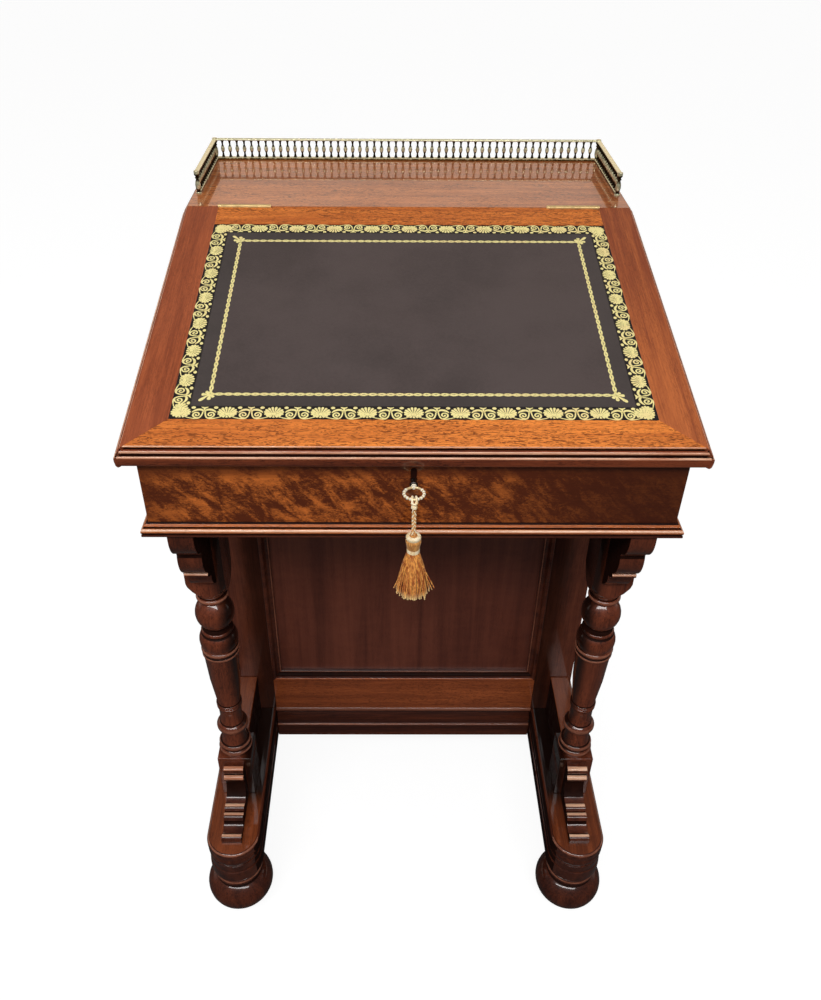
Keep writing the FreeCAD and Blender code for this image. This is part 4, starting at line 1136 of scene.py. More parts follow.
class DAVENPORT_OT_writing_box(bpy.types.Operator):
    """Box front in figured veneer, sides, back, bottom and the base moulding"""

    bl_idname = "davenport.writing_box"
    bl_label = "Writing Box"

    def execute(self, context):
        look = finish()
        dressed("box_front", figured_veneer(), "figured_mahogany")
        side_wood = mahogany("box_side_mahogany", "Y", look.body_light, look.body_dark, (2, 1, 0), 0.5)
        for node in ("box_side_left", "box_side_right"):
            dressed(node, side_wood)
        dressed("box_back", body_wood("X"))
        dressed("box_bottom", edged_lining("box_bottom_wood", "X", ("Y", 0.300, 0.306)), "lining_wood")
        moulding = levelled(joined("base_moulding_strips", self.base_moulding()))
        wood = mahogany("moulding_mahogany", "X", (0.62, 0.17, 0.04), (0.25, 0.055, 0.015), (1, 5, 2))
        finished(moulding, wood, "base_mouldings")
        # Painted shade with old polish in the quirks; darker wood on the fascia and painted shade on the bead's
        # lower half; a painted highlight on the bead's top.
        shade_and_polish(moulding, bands((3.0, 4.1), (9.9, 11.05), (14.1, 20), base=BOX_BASE_Z))
        lower = mahogany("dark_fascia_and_shade_mahogany", "X", (0.14, 0.032, 0.014), (0.05, 0.010, 0.005), (1, 5, 2))
        stained(moulding, lower, bands((-1, 3.0), (4.1, 6.0), base=BOX_BASE_Z))
        highlighted(moulding, bands((7.6, 9.4), base=BOX_BASE_Z), pale=True)
        # Painted shade: a thin nearly black plate on the box front stands for the dark opening of the keyhole.
        keyhole_plate = run("keyhole_shade_plate", "Y", BOX_FRONT_Y + 0.6, -0.9, outline(
            (-2.6, 0.5), (2.6, 0.5), (3.1, 9.5), ((0.0, 13.4), (-3.1, 9.5)), at=(0, KEY_Z)))
        finished(keyhole_plate, kept("dark_polish_and_shade"))
        return {"FINISHED"}

    def base_moulding(self):
        reach = 8.2

        def section(edge, outward):
            return outline(
                (0, 0), (5.2, 0), ((6.5, 0.6), (7.0, 1.8)), (6.9, 3.2), (5.7, 3.5), (5.7, 4.0),
                ((7.2, 6.9), (4.9, 9.9)), (3.4, 10.3), (3.4, 11.0), ((4.0, 11.6), (3.6, 12.6)),
                ((2.2, 13.6), (1.0, 15.0)), (0, 15.0),
                step=radians(16), at=(edge, BOX_BASE_Z), scale=(outward, 1))

        wide, start = BOX_HALF_WIDTH + reach, BOX_FRONT_Y - reach
        front = run("strip_front", "X", -wide, 2 * wide, section(BOX_FRONT_Y, -1))
        strips = [front]
        for side in SIDES:
            corner = (side * BOX_HALF_WIDTH, BOX_FRONT_Y, 0)
            trim(front, corner, (side, 1, 0))
            strip = run("strip_side", "Y", start, BOX_BACK_Y - start, section(side * BOX_HALF_WIDTH, side))
            strips.append(trim(strip, corner, (-side, -1, 0)))
        return strips


# ---------------- the pedestal


class DAVENPORT_OT_pedestal(bpy.types.Operator):
    """Framed front with its moulded panel, sides, back, plinth rails and the insides"""

    bl_idname = "davenport.pedestal"
    bl_label = "Pedestal"

    def execute(self, context):
        upright, level, deep = body_wood("Z"), body_wood("X"), body_wood("Y", (1, 1, 3))
        # Painted light and shade: the stiles are lighter on their outer halves and darken towards the panel.
        stile_wood = mahogany(
            "pedestal_stile_mahogany", "Z", (0.22, 0.056, 0.026), (0.085, 0.020, 0.010), (3, 1, 2), 0.5,
            pores=0.3, sheen=0.08, shade=((0.3, 0.3, 0.3), ("X", 0.236, 0.205)))
        rail_wood = mahogany("rail_mahogany", "X", (0.46, 0.110, 0.030), (0.21, 0.045, 0.014), (2, 6, 1), pores=0.6)
        panel_wood = mahogany(
            "panel_mahogany", "Z", (0.19, 0.050, 0.027), (0.09, 0.022, 0.013), (4, 2, 2), 0.5, pores=0.2,
            sheen=0.22, streak=0.2)
        back_wood = mahogany(
            "back_panel_mahogany", "Z", (0.17, 0.045, 0.022), (0.07, 0.017, 0.009), (7, 2, 2), 0.5, sheen=0.15)
        for node, wood in (
                ("front_stile_left", stile_wood), ("front_stile_right", stile_wood), ("side_posts_right", upright),
                ("side_frame_left", upright), ("side_board_left", upright), ("front_rails", rail_wood),
                ("front_panel", panel_wood), ("back_frame", upright), ("back_panel", back_wood)):
            dressed(node, wood, ease=node != "side_board_left")
        front = PEDESTAL_FRONT_Y
        moulding = levelled(joined("panel_moulding_strips", self.panel_mouldings()))
        finished(moulding, level, "panel_mouldings")
        # A painted highlight along the foot of the panel moulding, painted shade with old polish in the quirk above
        # it, and painted highlights on its bead.
        stained(moulding, rail_wood, lambda x, y, z: z < 204.7)
        shade_and_polish(moulding, lambda x, y, z: 204.7 < z < 210.2 and y > front)
        highlighted(moulding, lambda x, y, z: y > front + 4.2 and (210.4 < z < 212.0 or 181.8 < abs(x) < 183.2))
        plinths = finished(joined("plinth_rails", self.plinths()), level, "cross_plinths")
        eased(plinths, 0.4 * MM, 2, 50)
        # Painted highlights on the plinth's beads.
        highlighted(plinths, lambda x, y, z: y < front + 6 and (130.0 < z < 133.8 or 95.4 < z < 97.5))
        dressed("dummy_fronts", deep)
        painted(lining_wood("lining_x", "X"), "drawer_guides", "pigeonholes")
        painted(edged_lining("dust_board_wood", "Y", ("X", 0.222, 0.228)), "dust_boards")
        return {"FINISHED"}

    def panel_mouldings(self):
        def section(edge, inward):
            return outline(
                (0, 9.0), (0, -0.6), ((0.5, -3.0), (2.6, -3.5)), ((4.6, -3.0), (5.2, -0.8)), (5.6, 0.6),
                ((7.4, 4.2), (10.6, 5.0)), (10.9, 4.3), ((12.2, 4.4), (13, 5.8)), (13, 9.0),
                step=radians(16), at=(edge, PEDESTAL_FRONT_Y), scale=(inward, 1))

        half, low, high = PANEL_HALF_WIDTH, PANEL_LOW, PANEL_HIGH
        strips = []
        for side in SIDES:
            strip = run("strip", "Z", low - 5, high - low + 10, section(side * half, -side))
            trim(strip, (side * half, 0, low), (-side, 0, -1))
            strips.append(trim(strip, (side * half, 0, high), (-side, 0, 1)))
        for edge, inward in ((low, 1), (high, -1)):
            strip = run("strip", "X", -half - 5, 2 * half + 10, [(y, z) for z, y in section(edge, inward)])
            for side in SIDES:
                trim(strip, (side * half, 0, edge), (side, 0, inward))
            strips.append(strip)
        return strips

    def plinths(self):
        inner, half = 23, SLEDGE_X - SLEDGE_HALF
        section = outline(
            (inner, SLEDGE_LOW), (0, SLEDGE_LOW), (0, 94.0), ((0.4, 96.6), (2.2, 97.6)), (3.4, 98.4),
            ((4.0, 112.0), (9.0, 122.0)), (9.0, 124.4), (3.6, 124.6), ((0.2, 129.4), (3.4, 134.0)),
            (4.6, SLEDGE_TOP), (inner, SLEDGE_TOP), at=(PEDESTAL_FRONT_Y - 1.0, 0))
        return [
            run("plinth_front", "X", -half, 2 * half, section),
            block("plinth_back", (-half, BOX_BACK_Y - 18, SLEDGE_LOW), (half, BOX_BACK_Y, SLEDGE_TOP)),
        ]


def knob(radius, reach):
    """A turned wooden knob standing on the origin, facing up."""
    return turned(
        "knob", (0.62, 0), (0.62, 0.06), ((0.50, 0.12), (0.46, 0.22)), ((0.52, 0.34), (0.80, 0.42)),
        ((1.0, 0.60), (0.86, 0.80)), (0.80, 0.83), ((0.52, 0.96), (0.4 / radius, 1)),
        scale=(radius, reach), steps=32)


class DAVENPORT_OT_drawers(bpy.types.Operator):
    """Four working drawers on the right and four dummies on the left, with turned knobs"""

    bl_idname = "davenport.drawers"
    bl_label = "Drawers"

    def execute(self, context):
        look = finish()
        wood = mahogany("drawer_mahogany", "Y", dimmed(look.body_light, 1.15), look.body_dark, (5, 2, 1), 0.6)
        knob_wood = body_wood("X", (7, 3, 3))
        lining = lining_wood("lining_x", "X")
        board, knob_reach, dummies = 14.0, 88.0, []
        for number in range(1, 5):
            drawer, node = f"drawer_{number}", f"drawer_{number}_front"
            low, high = (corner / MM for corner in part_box(node))
            face = block(f"{drawer}_face", (DRAWER_FACE_X - board, low.y, low.z), (DRAWER_FACE_X, high.y, high.z))
            finished(eased(face, 0.9 * MM, 3), wood, node, body=drawer)
            middle, height = (low.y + high.y) / 2, (low.z + high.z) / 2
            knobs = []
            for shift in (-knob_reach, knob_reach):
                for side, group in ((1, knobs), (-1, dummies)):
                    place = (side * (DRAWER_FACE_X - 0.05), middle + shift, height)
                    group.append(laid(knob(15.0, 23.0), side * pi / 2, "Y", place))
            finished(joined(f"{drawer}_knobs", knobs), knob_wood, node, body=drawer)
            painted(lining, f"{drawer}_box")
        finished(joined("dummy_knobs_turned", dummies), knob_wood, "dummy_knobs")
        painted(lining, "small_drawer_left", "small_drawer_right")
        return {"FINISHED"}


# ---------------- supports


class DAVENPORT_OT_columns(bpy.types.Operator):
    """Two turned columns between square blocks"""

    bl_idname = "davenport.columns"
    bl_label = "Columns"

    def execute(self, context):
        look = finish()
        # Painted shade: the turnings darken on the side turned to the desk's middle.
        wood = mahogany(
            "column_mahogany", "Z", dimmed(look.body_light, 1.5), look.body_dark, (1, 4, 2), rough=0.28,
            sheen=0.04, shade=((0.1, 0.1, 0.1), ("X", 0.226, 0.2115)))
        places = [(side * SLEDGE_X, COLUMN_Y) for side in SIDES]
        for piece, node in zip(placed(self.column(wood), places), ("column_left", "column_right")):
            piece.name = f"{node}_turned"
            finished(piece, None, node)
        return {"FINISHED"}

    def column(self, wood):
        low_top, high_low = 210.5, 503.0
        half = BLOCK / 2
        corner = half * 2 ** 0.5
        shaft = turned(
            "column_shaft", (19.5, low_top - 1.5), (19.5, low_top + 1.0), *bead(low_top + 1.5, 221.0, 19.0, 22.2),
            *bead(222.0, 230.0, 18.4, 21.0), (17.4, 231.0), ((16.2, 237.0), (15.2, 252.0)),
            *bead(253.0, 267.0, 16.0, 20.4), (15.0, 268.6), ((14.3, 281.0), (14.6, 295.0)),
            *bead(296.5, 299.4, 15.1, 16.1), *bead(299.6, 302.5, 15.1, 16.3), *bead(302.7, 305.6, 15.1, 16.4),
            (14.8, 307.0), ((18.7, 344.0), (21.3, 394.0)), *bead(396.0, 400.5, 21.6, 22.8), (20.6, 402.0),
            *bead(402.6, 409.6, 20.9, 23.2), ((23.6, 421.0), (20.2, 432.0)), (18.3, 433.2),
            *bead(434.0, 440.0, 16.4, 19.6), (13.2, 441.5), (13.0, 443.2), ((23.4, 464.0), (13.0, 484.8)),
            (13.0, 487.0), *bead(488.0, 495.0, 15.4, 19.0), (16.4, 496.0),
            ((17.6, 500.0), (19.8, high_low + 1.5)))
        lower = eased(block("block_low", (-half, -half, SLEDGE_TOP), (half, half, low_top)), 1.4 * MM, 3)
        shaft.data.materials.append(wood)
        # Painted highlights on the crests of the beads; painted shade with old polish in the quirks between them.
        highlighted(shaft, bands(
            (216.6, 219.6), (226.2, 229.0), (260.4, 263.6), (398.6, 400.2), (406.6, 409.0), (491.8, 494.2)))
        shade_and_polish(shaft, bands(
            (220.6, 222.4), (229.8, 231.4), (252.4, 253.6), (266.8, 269.0), (295.6, 297.0), (299.2, 299.8),
            (302.3, 302.9), (305.4, 307.2), (400.2, 402.8), (431.6, 434.4), (439.6, 444.4), (484.0, 488.4),
            (494.8, 496.6)))
        upper = block("block_high", (-half, -half, high_low), (half, half, BOX_BASE_Z))
        cut(upper, turned(
            "shoulder", (19.5, high_low), ((26.0, high_low + 9.0), (corner, high_low + 24.0)),
            (corner + 1, high_low + 26.0), (corner + 1, BOX_BASE_Z + 1)), keep=True)
        eased(upper, 0.8 * MM, 2, 50)
        for part in (lower, upper):
            part.data.materials.append(wood)
        return joined("column", [shaft, lower, upper])


# Profiles out from the column's face and up from the base; crests and hollows of the reeds are
# each low and high, then least and most depth.
CORBEL = (
    (0.0, 0), (63.6, 0), (63.6, -7.0), ((59.0, -26.0), (45.0, -39.0)), (43.0, -43.5), (44.0, -47.0),
    ((42.8, -62.0), (33.4, -76.5)), (29.6, -78.6), (28.8, -80.0), ((31.4, -83.2), (27.4, -86.4)),
    ((25.2, -90.0), (21.0, -92.5)), (17.0, -94.0), (17.5, -101.0), ((10.0, -113.0), (0.0, -121.0)))
CORBEL_CRESTS = ((-82.4, -80.3, 27, 33),)
CORBEL_HOLLOWS = ((-80.4, -76.4, 27, 34), (-46.5, -42, 40, 45))
SCROLL = (
    (0.0, 0), (77.0, 0), (77.0, 6.0), ((72.5, 10.5), (68.0, 7.0)), ((60.0, 5.0), (52.0, 9.0)), (52.0, 13.0),
    ((46.0, 18.5), (40.0, 14.0)), ((34.5, 21.0), (28.0, 17.0)), ((14.0, 27.0), (12.0, 46.0)), (15.0, 50.5),
    ((18.8, 55.5), (14.0, 60.0)), (12.6, 61.5), ((14.4, 67.0), (8.0, 71.0)), (0.0, 72.0))
SCROLL_CRESTS = (
    (68.6, 71.4, 6, 15), (56.8, 60, 13, 19), (19.2, 21.4, 30, 35.5), (16.6, 19, 41.5, 47.5), (9, 11, 68.5, 73.6))
SCROLL_HOLLOWS = ((20, 50, 0, 26.5), (60, 63, 11, 15), (12, 16.5, 37, 42.5), (7, 13.5, 50, 53), (5, 8, 66, 69.4))


def reeds(rows, base):
    """The region of a bracket's crests or hollows."""
    return lambda x, y, z: any(
        base + low < z < base + high and least < BRACKET_FRONT - y < most for low, high, least, most in rows)


class DAVENPORT_OT_brackets(bpy.types.Operator):
    """Lobed corbels under the box and reeded scroll brackets on the sledges"""

    bl_idname = "davenport.brackets"
    bl_label = "Brackets"

    def execute(self, context):
        look = finish()
        wood = mahogany("bracket_mahogany", "Z", look.body_light, look.body_dark, (3, 3, 1), rough=0.28)
        inner = SLEDGE_X - BRACKET / 2
        for name, node, base, profile, crests, hollows in (
                ("corbel", "corbels", BOX_BASE_Z, CORBEL, CORBEL_CRESTS, CORBEL_HOLLOWS),
                ("scroll", "scroll_brackets", SLEDGE_TOP, SCROLL, SCROLL_CRESTS, SCROLL_HOLLOWS)):
            front = run(name, "X", inner, BRACKET, outline(*profile, at=(BRACKET_FRONT, base), scale=(-1, 1)))
            eased(front, 0.9 * MM, 3, 40)
            pieces = [front, copied(front, mirror=("Y", COLUMN_Y)) if name == "corbel" else self.tie(inner)]
            pieces += [copied(piece, mirror=("X", 0)) for piece in pieces[:]]
            bracket = finished(joined(f"{name}_brackets", pieces), wood, node)
            # Painted light: the tops of the ties are painted lighter, as lit from above.
            lit_tie_top_wood = mahogany(
                "lit_tie_top_mahogany", "Y", (0.26, 0.062, 0.018), (0.11, 0.024, 0.008), (4, 1, 1), sheen=0.15)
            stained(bracket, lit_tie_top_wood, lambda x, y, z: y > COLUMN_Y + BLOCK / 2 and TIE_TOP - 0.8 < z < 300)
            # Painted highlights on the reeds' crests; painted shade with old polish in their hollows; painted shade
            # on the inner sides.
            highlighted(bracket, reeds(crests, base), pale=True)
            shade_and_polish(bracket, reeds(hollows, base))
            shaded_inner_sides(bracket)
        return {"FINISHED"}

    def tie(self, inner):
        """Flat-topped cheek from the foot of a column back to the pedestal."""
        low, high = (inner, COLUMN_Y + BLOCK / 2, SLEDGE_TOP), (inner + BRACKET, PEDESTAL_FRONT_Y, TIE_TOP)
        return eased(block("tie", low, high), 1.4 * MM, 3)


class DAVENPORT_OT_base(bpy.types.Operator):
    """Sledges with round noses, on turned bun feet"""

    bl_idname = "davenport.base"
    bl_label = "Base"

    def execute(self, context):
        right = self.sledge()
        left = copied(right, mirror=("X", 0))
        wood = body_wood("Y", (2, 2, 2), rough=0.28)
        # Painted light and shade: the sledge tops are lighter wood as lit from above, painted dark behind the
        # columns where their shadow falls.
        lit_top_wood = mahogany(
            "lit_sledge_top_mahogany", "Y", (0.27, 0.062, 0.017), (0.11, 0.024, 0.008), (2, 1, 2),
            shade=((0.06, 0.06, 0.06), ("X", 0.246, 0.226), ("Y", -0.236, -0.200)))
        top = SLEDGE_TOP
        for sledge, node in ((left, "sledge_left"), (right, "sledge_right")):
            sledge.name = f"{node}_moulded"
            finished(sledge, wood, node)
            stained(sledge, lit_top_wood, lambda x, y, z: z > top - 0.3)
            # A painted highlight along the rim of the top; painted shade on the inner sides, and with old polish in
            # the grooves.
            highlighted(sledge, lambda x, y, z: top - 2.6 < z < top - 0.8 and abs(x) > SLEDGE_X - 33)
            shaded_inner_sides(sledge)
            shade_and_polish(sledge, bands((49.5, 51.9), (35.3, 37.9), (21.1, 24.1), base=SLEDGE_LOW))
            levelled(sledge)
        foot = turned(
            "foot", (24.0, 0.0), ((26.5, 0.7), (28.5, 2.2)), ((44.6, 27.0), (31.5, 52.0)), (28.6, 53.0),
            (28.0, 56.0), *bead(57.0, 68.0, 28.5, 33.2), (27.6, 68.6), (27.6, SLEDGE_LOW))
        foot.data.materials.append(body_wood("Z", (6, 1, 4), rough=0.28))
        # A painted highlight on the foot's bead; painted shade with old polish in the neck and under the sledge.
        highlighted(foot, bands((63.6, 66.0)))
        shade_and_polish(foot, bands((52.4, 57.4), (68.0, SLEDGE_LOW + 1)))
        places = [(side * SLEDGE_X, y) for side in SIDES for y in (NOSE_Y, BOX_BACK_Y - SLEDGE_HALF)]
        finished(joined("bun_feet_turned", placed(foot, places)), None, "bun_feet")
        return {"FINISHED"}

    def sledge(self):
        """The right sledge: half a turn of its edge for the nose, run back to the desk's back."""
        half, top = SLEDGE_HALF, SLEDGE_TOP - SLEDGE_LOW
        edge = outline(
            (-half, top), (-5.0, top), ((-1.5, top - 1.5), (0, top - 5.0)), (0, 52.0), (-1.8, 51.4), (-1.8, 49.6),
            ((-0.2, 43.5), (-1.4, 38.0)), (-3.0, 37.4), (-3.0, 35.4), (-1.2, 34.8), (-1.2, 24.0), (-3.0, 23.2),
            (-3.0, 21.2), (-0.6, 20.4), ((0, 12.0), (0, 4.0)), ((-1.2, 1.2), (-3.5, 0)), (-half, 0),
            step=radians(16), at=(SLEDGE_X + half, SLEDGE_LOW))
        draw("sledge", [(x, NOSE_Y, z) for x, z in edge])
        bpy.ops.mesh.spin(steps=36, angle=pi, center=(SLEDGE_X * MM, NOSE_Y * MM, 0), axis=(0, 0, 1))
        done()
        for vertex in bpy.context.object.data.vertices:
            vertex.select = abs(vertex.co.y - NOSE_Y * MM) < 1e-6
        bpy.ops.object.mode_set(mode="EDIT")
        bpy.ops.mesh.select_mode(type="VERT")
        bpy.ops.mesh.extrude_region_move(TRANSFORM_OT_translate={"value": (0, (BOX_BACK_Y - NOSE_Y) * MM, 0)})
        bpy.ops.mesh.edge_face_add()
        return tidy_skin(30)


# ---------------- brass gallery


def evenly(low, high):
    """Centres of the spindles between two posts, nearest to the wanted pitch."""
    count = round((high - low) / (sizes().spindle_pitch / MM))
    return [low + (high - low) / count * step for step in range(1, count)]


class DAVENPORT_OT_gallery(bpy.types.Operator):
    """Pierced brass gallery with turned spindles and posts, and the lid's hinges"""

    bl_idname = "davenport.gallery"
    bl_label = "Gallery"

    def execute(self, context):
        half, front, back = GALLERY_HALF_WIDTH, GALLERY_FRONT, GALLERY_BACK
        base, tall = HINGE_Z, GALLERY_TALL
        post = turned(
            "post", (POST, 0), (POST, 1.4), ((2.7, 2.0), (2.6, 3.0)), (1.9, 3.4), ((3.3, 9.6), (1.9, 17.0)),
            (1.6, 17.8), *bead(18.4, 20.2, 1.9, 2.7), (1.8, 20.8), ((2.6, 22.0), (POST, 23.0)),
            (POST, tall + 0.2), ((POST - 0.15, tall + 0.5), (POST - 0.6, tall + 0.6)), low=base, steps=20)
        corners = [(side * half, y) for side in SIDES for y in (front, back)]
        # Painted highlights round the posts' feet, bulbs and caps, over dark brass as painted shade.
        highlit = ((base + 1.0, 1.6), (base + 10.6, 6.6), (base + tall, 4.6))
        finished(
            joined("gallery_posts_turned", placed(post, corners)), shaded_brass_with_highlights("post_brass", highlit),
            "gallery_posts", slot="brass")
        finished(
            levelled(joined("gallery_rails_moulded", self.rails())), brass_dark_below("rail_brass", 0.8432, 0.8446),
            "gallery_rails", slot="brass")
        low, rise = base + 3.2, tall - 5.4
        spindle = turned(
            "spindle", (2.4, 0), (1.5, 0.12), (1.05, 0.24), (2.2, 0.38), (2.75, 0.49), (2.1, 0.60), (1.0, 0.74),
            (1.4, 0.88), (2.4, 1), low=low, scale=(1, rise), steps=8, angle=60)
        places = [(x, back) for x in evenly(-half, half)]
        places += [(side * half, y) for side in SIDES for y in evenly(front, back)]
        # A painted highlight round the spindles' bulbs, over dark brass as painted shade.
        finished(
            joined("gallery_spindles_turned", placed(spindle, places)),
            shaded_brass_with_highlights("spindle_brass", ((low + rise * 0.5, 4.4),)), "gallery_spindles", slot="brass")
        painted(
            metal("hinge_brass", (0.80, 0.56, 0.24), 0.3, 0.5, pure=0.5), "hinge_leaves_fixed",
            "hinge_leaves_lid", "lock_case", "lock_bolt", "lock_staple")
        return {"FINISHED"}

    def rails(self):
        foot = (
            (-2.4, 0), (2.4, 0), (2.4, 0.5), ((1.7, 1.0), (1.7, 1.7)), ((2.8, 2.4), (2.3, 3.3)), (-2.3, 3.3),
            ((-2.8, 2.4), (-1.7, 1.7)), ((-1.7, 1.0), (-2.4, 0.5)))
        head = (
            (-1.9, -2.4), (1.9, -2.4), (2.8, -1.5), ((2.7, -0.4), (2.2, 0)), (1.2, -0.1), (0.8, -0.55),
            (-0.8, -0.55), (-1.2, -0.1), (-2.2, 0), ((-2.7, -0.4), (-2.8, -1.5)))
        reach = GALLERY_HALF_WIDTH - POST * 0.6
        start, end = GALLERY_FRONT + POST * 0.6, GALLERY_BACK - POST * 0.6
        rails = []
        for moves, level in ((foot, HINGE_Z), (head, HINGE_Z + GALLERY_TALL)):
            def section(middle):
                return outline(*moves, step=radians(40), at=(middle, level))

            rails.append(run("rail", "X", -reach, 2 * reach, section(GALLERY_BACK)))
            rails += [run("rail", "Y", start, end - start, section(side * GALLERY_HALF_WIDTH)) for side in SIDES]
        return rails


# ---------------- key and tassel


class DAVENPORT_OT_key(bpy.types.Operator):
    """Key with a steel shank and a beaded brass bow"""

    bl_idname = "davenport.key"
    bl_label = "Key"

    def execute(self, context):
        radius, wire, bead_radius, beads_each_side = 9.4, 1.15, 1.6, 6
        centre = BOW_TIP_Y + radius
        ring = primitive(
            "torus", "bow_ring", location=(0, centre * MM, KEY_Z * MM), major_radius=radius * MM,
            minor_radius=wire * MM, major_segments=64, minor_segments=14)
        bpy.ops.object.shade_smooth()
        ring.data.materials.append(metal("bow_brass", (0.98, 0.74, 0.40), 0.18, 0.35, 260.0, 0.3))
        # Painted highlight: the bow's beads and the shank's collar are painted pale cream brass.
        pale = metal("pale_highlight_brass", (1.0, 0.92, 0.74), 0.2, 0.2, 260.0, 0.1)
        beads = []
        for step in range(-beads_each_side, beads_each_side + 1):
            if step:
                turn = -pi / 2 + step * radians(21)
                place = Vector((radius * cos(turn), centre + radius * sin(turn), KEY_Z)) * MM
                beads.append(primitive(
                    "uv_sphere", "bow_bead", segments=12, ring_count=8, radius=bead_radius * MM, location=place))
                bpy.ops.object.shade_smooth()
                beads[-1].data.materials.append(pale)
        bow = joined("key_bow", [ring, *beads])
        front = centre + radius - wire
        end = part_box("key")[1].y / MM
        shank = turned(
            "key_shank", (1.3, 0), (2.0, 0.5), ((2.2, 1.6), (1.9, 2.8)), (1.9, 3.2), *bead(3.4, 6.6, 2.6, 4.1),
            (2.4, 7.0), (2.6, 7.6), (2.6, end - front - 0.4), (2.2, end - front), steps=28)
        laid(shank, -pi / 2, "X", (0, front, KEY_Z))
        bit = eased(block("bit", (1.5, end - 6, KEY_Z - 1.2), (9.0, end - 1, KEY_Z + 1.2)), 0.3 * MM)
        shank = joined("key_shank", [shank, bit])
        finished(bow, None, "key", body="key", slot="key_metal")
        finished(shank, metal("key_steel", (0.10, 0.09, 0.085), 0.3, 0.5), "key", body="key", slot="key_metal")
        stained(shank, pale, lambda x, y, z: y < front + 3.3)
        return {"FINISHED"}


def curve(name, lines, bevel=0.0, sides=2, resolution=4):
    """Smooth open lines through points in millimetres, each one NURBS spline."""
    data = bpy.data.curves.new(name, "CURVE")
    data.dimensions = "3D"
    data.bevel_depth = bevel * MM
    data.bevel_resolution = sides
    data.use_fill_caps = True
    data.resolution_u = resolution
    for points in lines:
        spline = data.splines.new("NURBS")
        spline.points.add(len(points) - 1)
        for point, place in zip(spline.points, points):
            point.co = (*(Vector(place) * MM), 1)
        spline.order_u = 3
        spline.use_endpoint_u = True
    return bpy.data.objects.new(name, data)


def route(points):
    """Points in millimetres along the smooth line that a cord follows, read from its spline."""
    line = curve("route", [points], resolution=8)
    track = [vertex.co / MM for vertex in bpy.data.meshes.new_from_object(line).vertices]
    remove([line])
    return track


def tube(name, lines, radius, sides=2):
    """Round threads along smooth lines, made a mesh."""
    piece = curve(name, lines, radius, sides)
    bpy.context.scene.collection.objects.link(piece)
    pick(piece)
    bpy.ops.object.convert(target="MESH")
    edit(named(name))
    return tidy_skin(50)


def twisted(track, offset, strands, radius, turns):
    """Lines of a twisted cord's strands about an upright track, one side of its middle."""
    lines = []
    for strand in range(strands):
        line = []
        for step, place in enumerate(track):
            turn = 2 * pi * (turns * step / (len(track) - 1) + strand / strands)
            line.append(place + Vector((offset + radius * cos(turn), radius * sin(turn), 0)))
        lines.append(line)
    return lines


